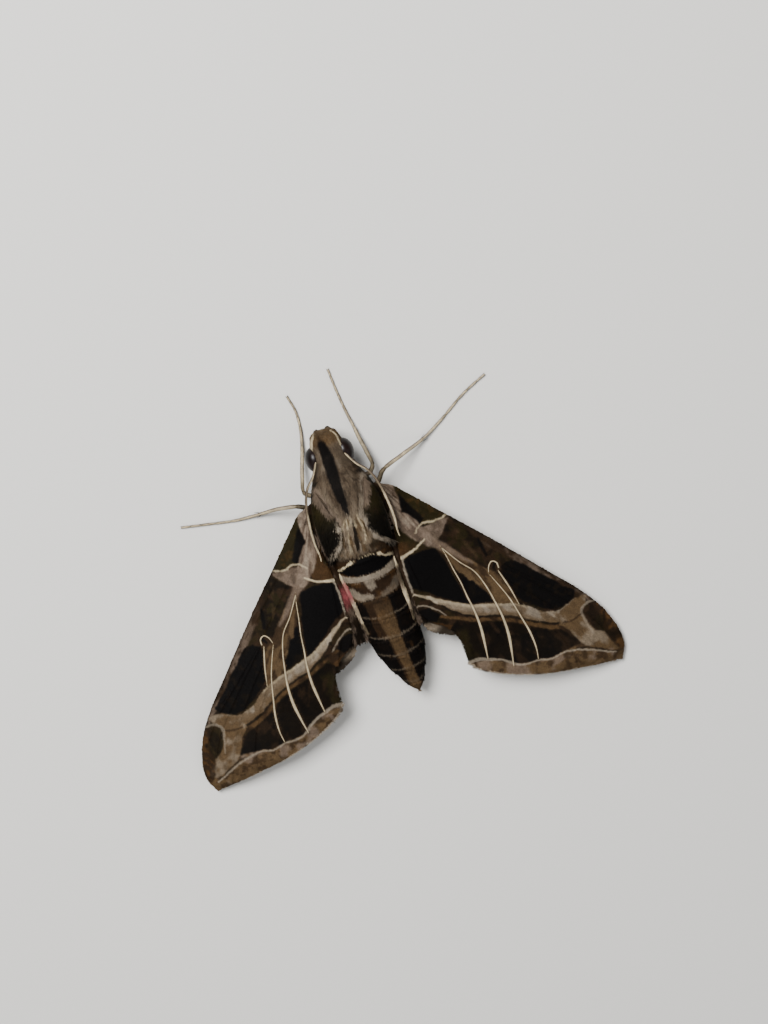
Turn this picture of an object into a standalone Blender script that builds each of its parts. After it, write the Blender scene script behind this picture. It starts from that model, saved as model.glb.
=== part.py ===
"""Hawk moth at rest (a banded vine sphinx), life size, as a still museum model.

The moth stands on its six feet with its belly close to the floor. Its head points to -Y, its left side to +X
and +Z is up. Every table below is in millimetres: x is the distance from the midline, y is counted backwards
from just behind the snout and z is counted up from the floor. UNIT turns them into metres.
Each part of the body is one closed solid, and the solids are parted by thin gaps.
"""

import math

import bmesh
import bpy
import numpy as np
from mathutils import Matrix, Vector

# ---------------------------------------------------------------- driving dimensions
FOREWING_LENGTH = 48.0  # root to apex, which sets the size of the whole moth
TABLE_FOREWING = 48.0  # the forewing length that the tables below are drawn for
UNIT = 0.001 * FOREWING_LENGTH / TABLE_FOREWING

GAP = 0.2  # between neighbouring solids
WING_THICKNESS = 0.5
WING_CAMBER = 0.8  # how far the forewing bulges above straight chords
HINDWING_DROP = 1.15  # how far the hindwing lies under the forewing
SIDES = {"left": 1.0, "right": -1.0}

# ---------------------------------------------------------------- body, from snout to tail
# y, half width, top, underside
BODY_STATIONS = (
    (-1.2, 0.0, 4.4, 4.4),
    (-0.85, 1.7, 5.8, 3.3),
    (0.3, 2.35, 7.0, 2.8),
    (2.1, 2.75, 8.0, 2.4),
    (4.2, 3.2, 8.8, 2.2),
    (5.8, 3.85, 9.3, 2.0),
    (8.0, 4.7, 9.9, 1.8),
    (11.0, 5.2, 10.5, 1.5),
    (14.1, 5.2, 10.5, 1.4),
    (16.9, 4.7, 9.9, 1.5),
    (20.0, 4.3, 9.1, 1.6),
    (23.4, 4.15, 8.5, 1.5),
    (27.3, 4.15, 7.9, 1.2),
    (31.1, 4.0, 7.1, 1.1),
    (34.2, 3.65, 6.3, 1.0),
    (36.8, 3.0, 5.5, 1.1),
    (38.8, 2.15, 4.8, 1.4),
    (40.9, 1.15, 4.0, 2.0),
    (42.1, 0.0, 3.0, 3.0),
)
# The abdomen is bent a little to the right: y, x
MIDLINE = ((18.0, 0.0), (24.0, -0.25), (30.0, -0.6), (36.0, -1.1), (42.2, -1.6))
NECK_Y = 5.6
WAIST_Y = 16.7
RING_SIDES = 24
# Rings where one abdominal segment tucks into the next, and how deep the groove is
SEGMENT_RINGS = (20.6, 24.0, 27.5, 31.1, 34.4, 37.5, 39.9)
GROOVE_DEPTH = 0.16
GROOVE_WIDTH = 0.35

# ---------------------------------------------------------------- head furniture
EYE_CENTRE = (2.2, 2.4, 5.3)
EYE_RADII = (1.4, 1.9, 1.7)
EYE_GAP = 0.12
PALP_CENTRE = (0.85, -0.4, 3.7)
PALP_RADII = (0.76, 1.0, 1.75)
PALP_LEAN_DEG = -18.0

# ---------------------------------------------------------------- shoulder flaps (tegulae)
TEGULA_Y = (6.1, 16.2)
TEGULA_INNER = ((6.1, 48.0), (7.9, 35.0), (9.4, 27.0), (11.1, 20.5), (13.7, 28.0), (16.2, 56.0))  # y, degrees
TEGULA_OUTER_DEG = 64.0
TEGULA_THICKNESS = (0.5, 0.7)  # at its edges and in its middle

# ---------------------------------------------------------------- forewing, seen from above: x, y
COSTA = ((5.35, 7.7), (6.9, 9.15), (8.6, 11.3), (11.9, 15.25), (18.1, 22.5), (25.1, 31.1), (28.6, 35.4),
         (31.1, 39.4), (32.5, 43.6), (32.6, 46.2), (31.75, 48.5))
INNER_MARGIN = ((5.6, 14.8), (5.2, 17.65), (4.85, 20.5), (4.8, 23.5), (4.85, 26.6), (4.95, 29.4), (6.0, 31.4),
                (7.9, 32.9), (9.0, 34.5), (9.4, 36.7), (9.5, 39.8))
TERMEN = ((9.5, 39.8), (10.5, 41.05), (14.25, 43.4), (20.3, 45.7), (27.2, 47.4), (31.75, 48.5))
# Share of the way along the costa and along the trailing edge that each chord joins
CHORD_AT = ((0.0, 0.0), (0.15, 0.10), (0.60, 0.74), (1.0, 1.0))  # place on the wing, share of the costa
TORNUS_AT = 0.60  # place on the wing where the inner margin ends
# Heights: share of the edge, z
COSTA_HEIGHT = ((0.0, 6.7), (0.1, 5.2), (0.3, 4.0), (0.6, 2.4), (0.8, 1.6), (1.0, 1.1))
TRAILING_HEIGHT = ((0.0, 7.2), (0.2, 7.0), (0.4, 6.0), (0.6, 5.1), (0.8, 4.2), (0.93, 2.6), (1.0, 1.1))

# ---------------------------------------------------------------- hindwing, tucked under the forewing
HIND_COSTA = ((5.4, 15.6), (9.5, 18.2), (15.0, 23.0), (20.5, 29.0), (24.0, 34.5))
HIND_TRAILING = ((5.3, 18.6), (4.9, 22.0), (4.75, 26.0), (4.8, 30.0), (5.5, 33.0), (9.0, 35.2), (14.0, 37.6),
                 (19.5, 38.0), (24.0, 34.5))

# ---------------------------------------------------------------- legs: x, y, z, radius from body to claw
# The two sides are set down a little differently.
FORELEG_LEFT = ((2.6, 8.1, 1.75, 0.4), (4.2, 8.4, 2.2, 0.48), (5.2, 7.6, 2.3, 0.4), (4.75, 5.3, 1.8, 0.42),
                (4.0, 3.1, 1.15, 0.4), (3.5, 1.5, 0.7, 0.34), (2.85, -1.3, 0.26, 0.3), (2.75, -3.9, 0.23, 0.28),
                (3.25, -6.3, 0.23, 0.26))
FORELEG_RIGHT = ((2.8, 7.8, 1.7, 0.4), (4.45, 7.8, 2.2, 0.48), (5.3, 6.8, 2.3, 0.4), (5.1, 4.7, 1.8, 0.42),
                 (4.7, 2.5, 1.1, 0.38), (4.5, 1.1, 0.65, 0.34), (4.1, -1.4, 0.26, 0.3), (3.7, -5.1, 0.23, 0.28),
                 (3.5, -8.25, 0.23, 0.26))
MIDLEG_LEFT = ((2.7, 11.5, 1.4, 0.42), (5.1, 10.1, 2.6, 0.5), (6.7, 8.8, 3.8, 0.45), (9.5, 8.7, 2.4, 0.42),
               (12.3, 9.1, 0.8, 0.34), (16.0, 9.05, 0.25, 0.29), (20.4, 8.2, 0.23, 0.28), (23.8, 7.5, 0.23, 0.26))
MIDLEG_RIGHT = ((2.9, 11.3, 1.3, 0.42), (5.3, 9.4, 2.6, 0.5), (6.6, 7.5, 3.8, 0.45), (9.8, 6.7, 2.4, 0.42),
                (13.2, 6.0, 0.8, 0.34), (16.6, 4.3, 0.25, 0.29), (20.9, 1.5, 0.23, 0.28), (24.7, -0.3, 0.23, 0.26))
HINDLEG = ((2.8, 14.6, 1.25, 0.42), (5.4, 16.2, 2.4, 0.5), (7.4, 17.8, 3.3, 0.45), (10.2, 21.6, 2.1, 0.42),
           (12.6, 25.2, 0.75, 0.34), (13.8, 29.0, 0.25, 0.29), (14.6, 33.4, 0.23, 0.28), (14.8, 37.8, 0.23, 0.26))
LEGS = {
    "foreleg_left": FORELEG_LEFT, "foreleg_right": FORELEG_RIGHT,
    "midleg_left": MIDLEG_LEFT, "midleg_right": MIDLEG_RIGHT,
    "hindleg_left": HINDLEG, "hindleg_right": HINDLEG,
}
LEG_SIDES, LEG_RINGS = 8, 18

# ---------------------------------------------------------------- antennae: x, y, z, radius
ANTENNA = ((2.15, 1.9, 8.0, 0.25), (3.2, 3.9, 7.8, 0.26), (4.55, 5.6, 7.6, 0.27), (5.4, 7.8, 7.7, 0.29),
           (5.8, 10.2, 7.7, 0.31), (6.0, 12.4, 7.75, 0.32), (6.0, 14.0, 7.8, 0.29), (5.85, 15.4, 7.9, 0.26),
           (5.9, 16.4, 7.9, 0.25))
ANTENNA_SIDES, ANTENNA_RINGS = 7, 18

# ---------------------------------------------------------------- colours: red, green, blue, roughness
COLOURS = {
    "scales_tan": (0.36, 0.27, 0.20, 0.85),
    "scales_olive": (0.045, 0.038, 0.020, 0.8),
    "scales_brown": (0.10, 0.065, 0.040, 0.85),
    "wing_brown": (0.075, 0.050, 0.030, 0.8),
    "hindwing_buff": (0.30, 0.20, 0.14, 0.85),
    "eye_dark": (0.035, 0.012, 0.010, 0.12),
    "leg_cream": (0.45, 0.37, 0.27, 0.7),
    "antenna_cream": (0.60, 0.52, 0.42, 0.7),
}


# ---------------------------------------------------------------- curves
def smooth_through(points, count):
    """Count points, evenly spaced, on a centripetal Catmull-Rom curve through the given ones."""
    p = np.asarray(points, float)
    p = np.vstack([2 * p[0] - p[1], p, 2 * p[-1] - p[-2]])
    knots = np.concatenate([[0], np.cumsum(np.linalg.norm(np.diff(p[:, :3], axis=0), axis=1) ** 0.5)])
    fine = []
    for i in range(1, len(p) - 2):
        t0, t1, t2, t3 = knots[i - 1:i + 3]
        t = np.linspace(t1, t2, 24, endpoint=False)[:, None]
        a1 = (t1 - t) / (t1 - t0) * p[i - 1] + (t - t0) / (t1 - t0) * p[i]
        a2 = (t2 - t) / (t2 - t1) * p[i] + (t - t1) / (t2 - t1) * p[i + 1]
        a3 = (t3 - t) / (t3 - t2) * p[i + 1] + (t - t2) / (t3 - t2) * p[i + 2]
        b1 = (t2 - t) / (t2 - t0) * a1 + (t - t0) / (t2 - t0) * a2
        b2 = (t3 - t) / (t3 - t1) * a2 + (t - t1) / (t3 - t1) * a3
        fine.append((t2 - t) / (t2 - t1) * b1 + (t - t1) / (t2 - t1) * b2)
    fine = np.vstack(fine + [p[-2:-1]])
    run = np.concatenate([[0], np.cumsum(np.linalg.norm(np.diff(fine[:, :3], axis=0), axis=1))])
    at = np.linspace(0, run[-1], count)
    return np.stack([np.interp(at, run, column) for column in fine.T], 1)


BODY_CURVE = smooth_through(BODY_STATIONS, 400)


def body_section(y):
    """Half width, middle height and half height of the body at y."""
    half_width, top, under = (np.interp(y, BODY_CURVE[:, 0], BODY_CURVE[:, i]) for i in (1, 2, 3))
    return half_width, (top + under) / 2, (top - under) / 2


def midline(y):
    """How far the body's middle lies from x = 0 at y."""
    return float(np.interp(y, *zip(*MIDLINE)))


def body_point(y, turn, offset=0.0, side="left"):
    """A point on the body at y, turned from the top towards +X by an angle, and lifted off it by an offset."""
    half_width, middle, half_height = body_section(y)
    out = Vector((math.sin(turn) / max(half_width, 0.1), math.cos(turn) / max(half_height, 0.1))).normalized()
    x = SIDES[side] * (half_width * math.sin(turn) + out.x * offset)
    return Vector((x + midline(y), y, middle + half_height * math.cos(turn) + out.y * offset))


def flank_x(y, z, side):
    """How far from x = 0 the body's flank on one side is, at y and height z."""
    half_width, middle, half_height = body_section(y)
    share = (z - middle) / max(half_height, 0.01)
    return half_width * math.sqrt(max(0.0, 1 - share**2)) + SIDES[side] * midline(y)


# ---------------------------------------------------------------- objects
def material(name):
    """A Principled BSDF finish with the colour and roughness of that name."""
    made = bpy.data.materials.get(name)
    if made is None:
        *colour, roughness = COLOURS[name]
        made = bpy.data.materials.new(name)
        made.use_nodes = True
        shader = made.node_tree.nodes["Principled BSDF"]
        shader.inputs["Base Color"].default_value = (*colour, 1.0)
        shader.inputs["Roughness"].default_value = roughness
        shader.inputs["Metallic"].default_value = 0.0
    return made


def add_object(name, shape, finish, parent):
    """Turns a bmesh drawn in table millimetres into a named object in metres."""
    bmesh.ops.scale(shape, vec=Vector((UNIT,) * 3), verts=shape.verts)
    mesh = bpy.data.meshes.new(name)
    shape.to_mesh(mesh)
    shape.free()
    mesh.materials.append(material(finish))
    mesh.shade_smooth()
    obj = bpy.data.objects.new(name, mesh)
    obj.parent = parent
    bpy.context.scene.collection.objects.link(obj)
    return obj


def loft(rings, closed_ends=(True, True)):
    """A bmesh through rings of points; an open end is a ring shrunk to one point."""
    shape = bmesh.new()
    rows = [[shape.verts.new(p) for p in ring] for ring in rings]
    for near, far in zip(rows, rows[1:]):
        for i in range(len(near)):
            j = (i + 1) % len(near)
            shape.faces.new((near[i], near[j], far[j], far[i]))
    for row, close in zip((rows[0], rows[-1]), closed_ends):
        if close:
            shape.faces.new(row)
    bmesh.ops.remove_doubles(shape, verts=shape.verts, dist=1e-4)
    bmesh.ops.recalc_face_normals(shape, faces=shape.faces)
    return shape


def ellipsoid(centre, radii, lean_deg=0.0, grow=0.0, segments=16, rings=10):
    """A bmesh ellipsoid, leaning about X, grown by the same amount all round."""
    shape = bmesh.new()
    size = Matrix.Diagonal((*(r + grow for r in radii), 1.0))
    place = Matrix.Translation(centre) @ Matrix.Rotation(math.radians(lean_deg), 4, "X") @ size
    bmesh.ops.create_uvsphere(shape, u_segments=segments, v_segments=rings, radius=1.0, matrix=place)
    return shape


def cut_away(obj, cutters):
    """Cuts the given wire-drawn helpers out of a solid."""
    for cutter in cutters:
        cutter.hide_render = True
        cutter.display_type = "WIRE"
        cut = obj.modifiers.new("cut_" + cutter.name, "BOOLEAN")
        cut.operation = "DIFFERENCE"
        cut.solver = "EXACT"
        cut.object = cutter


# ---------------------------------------------------------------- body, head furniture
def groove(y):
    """How much the abdomen shrinks at y, where one segment tucks into the next."""
    depth = sum(math.exp(-(((y - ring) / GROOVE_WIDTH) ** 2)) for ring in SEGMENT_RINGS)
    return GROOVE_DEPTH * min(depth, 1.0)


def body_piece(name, start, end, count, finish, parent, grooved=False):
    """A length of the body between two cross cuts; the snout and the tail close to a point."""
    tip_start, tip_end = start <= BODY_STATIONS[0][0], end >= BODY_STATIONS[-1][0]
    ys = list(np.linspace(start, end, count))
    if tip_start:
        ys[1:1] = [start + 0.12, start + 0.35]
    if tip_end:
        ys[-1:-1] = [end - 0.5, end - 0.2]
    if grooved:
        ys = sorted(set(ys) | {ring + step for ring in SEGMENT_RINGS for step in (-0.3, 0.0, 0.3)})
    rings = []
    for y in ys:
        inset = groove(y) if grooved else 0.0
        rings.append([body_point(y, 2 * math.pi * i / RING_SIDES, -inset) for i in range(RING_SIDES)])
    for k, tip in ((0, tip_start), (-1, tip_end)):
        if tip:
            rings[k] = [Vector((midline(ys[k]), ys[k], body_section(ys[k])[1]))] * RING_SIDES
    return add_object(name, loft(rings, (not tip_start, not tip_end)), finish, parent)


def beside_midline(point, side):
    """A table point, its x counted from the body's own middle, on one side."""
    return (point[0] * SIDES[side] + midline(point[1]), *point[1:])


def make_head(parent):
    """The head, with its eyes and palps set in sockets."""
    head = body_piece("head", BODY_STATIONS[0][0], NECK_Y - GAP / 2, 11, "scales_tan", parent)
    cutters = []
    for side in SIDES:
        eye, palp = beside_midline(EYE_CENTRE, side), beside_midline(PALP_CENTRE, side)
        add_object("eye_" + side, ellipsoid(eye, EYE_RADII), "eye_dark", parent)
        add_object("palp_" + side, ellipsoid(palp, PALP_RADII, PALP_LEAN_DEG, 0.0, 12, 8), "scales_brown", parent)
        sockets = {
            "socket_eye_": ellipsoid(eye, EYE_RADII, 0.0, EYE_GAP),
            "socket_palp_": ellipsoid(palp, PALP_RADII, PALP_LEAN_DEG, EYE_GAP, 12, 8),
        }
        cutters += [add_object(name + side, shape, "eye_dark", parent) for name, shape in sockets.items()]
    cut_away(head, cutters)


def make_tegula(side, parent, along=12, across=7):
    """A shoulder flap: a leaf-shaped plate bent round the thorax, thickest in its middle."""
    inner_y, inner_deg = zip(*TEGULA_INNER)
    plate = []
    for y in np.linspace(*TEGULA_Y, along):
        share = (y - TEGULA_Y[0]) / (TEGULA_Y[1] - TEGULA_Y[0])
        low = math.radians(np.interp(y, inner_y, inner_deg))
        high = math.radians(TEGULA_OUTER_DEG)
        under, over = [], []
        for t in np.linspace(0, 1, across):
            bulge = math.sin(math.pi * t) * math.sin(math.pi * share)
            thickness = TEGULA_THICKNESS[0] + (TEGULA_THICKNESS[1] - TEGULA_THICKNESS[0]) * bulge
            turn = low + (high - low) * t
            under.append(body_point(y, turn, GAP, side))
            over.append(body_point(y, turn, GAP + thickness, side))
        plate.append(over + under[::-1])
    return add_object("tegula_" + side, loft(plate), "scales_olive", parent)


# ---------------------------------------------------------------- wings
def clear_of_body(point, side):
    """A wing point on one side of the body, kept clear of its flank."""
    x, y, z = point
    flank = max(flank_x(y, z - drop, side) for drop in (0.0, WING_THICKNESS / 2, WING_THICKNESS))
    return Vector((max(x, flank + 1.5 * GAP) * SIDES[side], y, z))


def edge_heights(shares, table):
    return np.interp(shares, *zip(*table))


def forewing_surface(places, chords):
    """Grid of the forewing's upper side: a chord at each place, from the costa to the trailing edge."""
    inner = smooth_through(INNER_MARGIN, 121)
    outer = smooth_through(TERMEN, 81)
    trailing = np.vstack([inner, outer[1:]])
    trailing_at = np.concatenate([np.linspace(0, TORNUS_AT, 121), np.linspace(TORNUS_AT, 1, 81)[1:]])
    costa = smooth_through(COSTA, 201)
    costa_share = np.interp(places, *zip(*CHORD_AT))
    near = np.stack([np.interp(costa_share, np.linspace(0, 1, 201), costa[:, i]) for i in (0, 1)], 1)
    far = np.stack([np.interp(places, trailing_at, trailing[:, i]) for i in (0, 1)], 1)
    near = np.column_stack([near, edge_heights(costa_share, COSTA_HEIGHT)])
    far = np.column_stack([far, edge_heights(places, TRAILING_HEIGHT)])
    t = np.asarray(chords)[None, :, None]
    grid = near[:, None] * (1 - t) + far[:, None] * t
    width = np.linalg.norm(near - far, axis=1)
    grid[..., 2] += WING_CAMBER * np.sin(np.pi * t[..., 0]) * np.minimum(1, width / 12)[:, None]
    return grid


def hindwing_surface(places, chords):
    """Grid of the hindwing's upper side, a fixed drop under the forewing."""
    costa, trailing = smooth_through(HIND_COSTA, len(places)), smooth_through(HIND_TRAILING, len(places))
    t = np.asarray(chords)[None, :, None]
    plan = costa[:, None] * (1 - t) + trailing[:, None] * t
    above = forewing_surface(np.linspace(0, 1, 121), np.linspace(0, 1, 61)).reshape(-1, 3)
    grid = np.zeros((*plan.shape[:2], 3))
    for index in np.ndindex(plan.shape[:2]):
        x, y = plan[index]
        apart = np.linalg.norm(above[:, :2] - plan[index], axis=1)
        nearest = np.argsort(apart)[:6]
        z = np.average(above[nearest, 2], weights=1 / (apart[nearest] + 0.05)) - HINDWING_DROP
        grid[index] = (x, y, z)
    return grid


def make_wing(name, side, surface, finish, parent):
    """A wing from its upper surface, thickened downwards."""
    shape = bmesh.new()
    rows = [[shape.verts.new(clear_of_body(p, side)) for p in row] for row in surface]
    for near, far in zip(rows, rows[1:]):
        for i in range(len(near) - 1):
            shape.faces.new((near[i], near[i + 1], far[i + 1], far[i]))
    bmesh.ops.remove_doubles(shape, verts=shape.verts, dist=1e-4)
    shape.normal_update()
    if sum(face.normal.z for face in shape.faces) < 0:
        bmesh.ops.reverse_faces(shape, faces=shape.faces)
    wing = add_object(f"{name}_{side}", shape, finish, parent)
    thick = wing.modifiers.new("thickness", "SOLIDIFY")
    thick.thickness = WING_THICKNESS * UNIT
    thick.offset = -1.0
    return wing


# ---------------------------------------------------------------- legs and antennae
def tube(name, route, rings, sides, finish, parent):
    """A tapering round limb along a smooth route, flattened where it touches the floor."""
    line = smooth_through(route, rings)
    loops = []
    for i, (x, y, z, radius) in enumerate(line.tolist()):
        ahead, behind = line[min(i + 1, rings - 1)], line[max(i - 1, 0)]
        along = Vector(ahead[:3] - behind[:3]).normalized()
        across = along.cross(Vector((0, 0, 1))).normalized()
        up = across.cross(along)
        loop = []
        for k in range(sides):
            angle = 2 * math.pi * (k + 0.5) / sides
            point = Vector((x, y, z)) + radius * (math.cos(angle) * up + math.sin(angle) * across)
            point.z = max(point.z, 0.0)
            loop.append(point)
        loops.append(loop)
    return add_object(name, loft(loops), finish, parent)


# ---------------------------------------------------------------- the moth
def stand_on_origin(root):
    """Moves the whole moth so that the middle of its outline on the floor is the origin."""
    bpy.context.view_layer.update()
    corners = [obj.matrix_world @ Vector(c) for obj in root.children if not obj.hide_render for c in obj.bound_box]
    low = [min(c[i] for c in corners) for i in range(2)]
    high = [max(c[i] for c in corners) for i in range(2)]
    root.location = (-(low[0] + high[0]) / 2, -(low[1] + high[1]) / 2, 0.0)


def main():
    for obj in list(bpy.data.objects):
        bpy.data.objects.remove(obj)
    root = bpy.data.objects.new("moth", None)
    bpy.context.scene.collection.objects.link(root)
    make_head(root)
    body_piece("thorax", NECK_Y + GAP / 2, WAIST_Y - GAP / 2, 12, "scales_tan", root)
    body_piece("abdomen", WAIST_Y + GAP / 2, BODY_STATIONS[-1][0], 12, "scales_brown", root, grooved=True)
    fore = forewing_surface(np.linspace(0, 1, 27), np.linspace(0, 1, 9))
    hind = hindwing_surface(np.linspace(0, 1, 15), np.linspace(0, 1, 8) ** 0.7)
    for side in SIDES:
        make_tegula(side, root)
        make_wing("forewing", side, fore, "wing_brown", root)
        make_wing("hindwing", side, hind, "hindwing_buff", root)
        antenna = [beside_midline(point, side) for point in ANTENNA]
        tube("antenna_" + side, antenna, ANTENNA_RINGS, ANTENNA_SIDES, "antenna_cream", root)
    for name, route in LEGS.items():
        route = [(point[0] * SIDES[name.split("_")[1]], *point[1:]) for point in route]
        tube(name, route, LEG_RINGS, LEG_SIDES, "leg_cream", root)
    stand_on_origin(root)


main()
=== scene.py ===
"""Looks of a life-size hawk moth at rest, a banded vine sphinx: skin, scales, wings, legs and stage.

Tables are in millimetres in the moth's own frame: x counts from the middle of the thorax towards the left
side, y counts backwards from just behind the snout, and z counts up from the floor. put() turns them into
metres and sets them on the solids.
"""
import math

import bpy
import numpy as np
from bpy.props import FloatProperty, FloatVectorProperty, IntProperty, PointerProperty
from mathutils import Matrix, Vector


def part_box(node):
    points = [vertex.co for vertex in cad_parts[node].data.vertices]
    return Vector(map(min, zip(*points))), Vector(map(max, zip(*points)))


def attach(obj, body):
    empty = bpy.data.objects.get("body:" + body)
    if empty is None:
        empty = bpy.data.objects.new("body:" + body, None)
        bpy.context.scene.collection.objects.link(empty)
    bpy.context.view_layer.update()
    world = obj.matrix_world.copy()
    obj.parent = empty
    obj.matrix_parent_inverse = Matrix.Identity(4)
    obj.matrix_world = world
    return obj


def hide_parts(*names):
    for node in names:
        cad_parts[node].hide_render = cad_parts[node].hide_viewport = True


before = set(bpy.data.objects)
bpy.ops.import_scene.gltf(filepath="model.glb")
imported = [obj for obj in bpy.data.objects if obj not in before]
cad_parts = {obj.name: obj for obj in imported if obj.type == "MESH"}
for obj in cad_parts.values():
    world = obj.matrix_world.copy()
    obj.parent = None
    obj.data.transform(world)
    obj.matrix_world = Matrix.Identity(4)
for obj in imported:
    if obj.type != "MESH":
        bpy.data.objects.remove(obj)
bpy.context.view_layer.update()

bl_info = {
    "name": "Vine Sphinx Moth",
    "version": (1, 0, 0),
    "blender": (4, 5, 0),
    "location": "View3D > Sidebar > Moth",
    "description": "Builds the skin, scales, wings, legs and stage of a life-size hawk moth",
    "category": "Add Mesh",
}

SIDES = {"left": 1.0, "right": -1.0}
EYE_CENTRE = np.array((2.2, 2.4, 5.3))
EYE_RADII = np.array((1.4, 1.9, 1.7))
_eyes = [np.array([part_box("eye_" + side)[end] for end in (0, 1)]) for side in SIDES]
_eye_middle = (_eyes[0].mean(0) + _eyes[1].mean(0)) / 2
MM = float((_eyes[0][1, 1] - _eyes[0][0, 1]) / (2 * EYE_RADII[1]))  # metres in one table millimetre
ORIGIN = _eye_middle - MM * EYE_CENTRE * (0, 1, 1)
PALP_CENTRE = np.array((0.82, -0.1, 3.75))
WING_ROOT, HINDWING_ROOT = (4.0, 6.0), (4.0, 14.0)
WEB_START, WEB_LENGTH = 15.6, 15.8  # of the web between hindwing and body
FOLD_START, FOLD_END = 19.4, 29.8  # of the folded inner margin of the hindwing
VEIN_PLACES = 90  # places along each pale vein
FRINGE_COUNT = 520  # scales along the rear edge of each segment
MOST_TRIANGLES = 200000  # in one piece of the coat
CHART = 0.003  # width of one blade on the map for baking
# Grain of the finishes, in metres
BROAD_GRAIN, SCALE_RELIEF, FACET = 0.0011, 0.00004, 0.000055
# The camera looks along -CAMERA_BACK at the target, turned a little sideways and down
CAMERA_BACK = np.array((-0.0139, -0.3539, 0.9352))
CAMERA_RIGHT = np.array((-0.9502, 0.2958, 0.0978))
CAMERA_UP = np.array((-0.3112, -0.8873, -0.3404))
CAMERA_TARGET = np.array((-0.39, 21.12, 3.52))
CAMERA_DISTANCE, CAMERA_PAN, CAMERA_TILT = 366.0, 0.00555, 0.02178
CAMERA_LENS, CAMERA_SENSOR = 88.75, 36.0
SKY_COLOUR, SKY_STRENGTH = (0.95, 0.97, 1.0, 1.0), 0.22
FLOOR_HALF = 1.5  # half the side of the square floor, in metres
# Name, parts of the direction along the camera's right, its up and the floor's up, distance, size, watts
LIGHTS = (
    ("key", -0.45, 0.55, 1.0, 0.55, 0.22, 6.6), ("fill", 0.9, -0.2, 0.9, 0.6, 0.6, 0.8),
    ("back", -0.4, -0.6, 0.7, 0.6, 0.5, 0.7),
)


# ================================================================ sizes and colours
def length(name, text, default, low, high):
    """A length in millimetres that the user can change."""
    return FloatProperty(name=name, description=text, default=default, min=low, max=high, precision=3)


def colour(name, text, red, green, blue):
    """A finish colour, given as the eye sees it from 0 to 255, kept as linear light."""
    seen = np.array((red, green, blue)) / 255
    light = np.where(seen <= 0.04045, seen / 12.92, ((seen + 0.055) / 1.055) ** 2.4)
    default = tuple(float(c) for c in light)
    return FloatVectorProperty(
        name=name, description=text, subtype="COLOR", size=3, min=0, max=1, default=default)


class MothSizes(bpy.types.PropertyGroup):
    """Sizes of the scales, the wing skin and the fine detail, in millimetres."""

    head_scale: length("Head scales", "Length of the scales on the head", 0.62, 0.2, 1.0)
    thorax_hair: length("Thorax hair", "Length of the hair-like scales on the thorax", 1.15, 0.4, 1.6)
    abdomen_scale: length("Abdomen scales", "Length of the scales on the abdomen", 0.62, 0.2, 0.9)
    leg_scale: length("Leg scales", "Length of the scales on the legs", 0.42, 0.15, 0.6)
    wing_scale: length("Wing scales", "Length of one wing scale", 0.3, 0.2, 0.7)
    wing_spacing: length("Wing scale spacing", "Distance between neighbouring wing scales", 0.121, 0.12,
        0.5)
    wing_skin: length("Wing skin", "Thickness of a wing without its scales", 0.16, 0.08, 0.3)
    vein_height: length("Vein height", "How far a vein stands out of the wing", 0.1, 0.0, 0.2)
    fringe: length("Wing fringe", "Length of the fringe along the outer edge of a wing", 0.8, 0.3, 1.2)
    coat_depth: length("Coat depth", "How far the skin lies inside the outline of the coat", 0.3, 0.1, 0.5)
    seed: IntProperty(
        name="Seed", description="Picks another scatter of the scales", default=7, min=0, max=999)


class MothColours(bpy.types.PropertyGroup):
    """Colours of the scales, eyes and stage."""

    cream: colour("Cream", "Palest scales, on veins and lines", 172, 157, 128)
    bone: colour("Bone", "Pale scales of the wide wing band", 126, 115, 100)
    tan: colour("Tan", "Tan scales of the cell stripe and the wing tip", 69, 54, 36)
    rosy: colour("Rosy tan", "Pinkish scales at the wing root and along the leading edge", 97, 83, 71)
    grey: colour("Grey tan", "Scales of the thorax disc", 84, 73, 60)
    clay: colour("Clay", "Orange-brown scales beside the pale lines", 63, 43, 22)
    umber: colour("Umber", "Mid brown scales", 34, 23, 13)
    olive: colour("Olive", "Olive scales of the wing root and the shoulder flaps", 27, 22, 7)
    bark: colour("Bark", "Dark brown scales of the outer wing", 12, 7, 3)
    soot: colour("Soot", "Blackish scales of the large patches", 3, 2, 2)
    pink: colour("Pink", "Rosy hair at the root of the hindwing", 136, 66, 70)
    eye: colour("Eye", "Dark red-brown of the eyes", 15, 6, 5)
    floor: colour("Floor", "Plain pale floor", 214, 212, 207)


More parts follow.
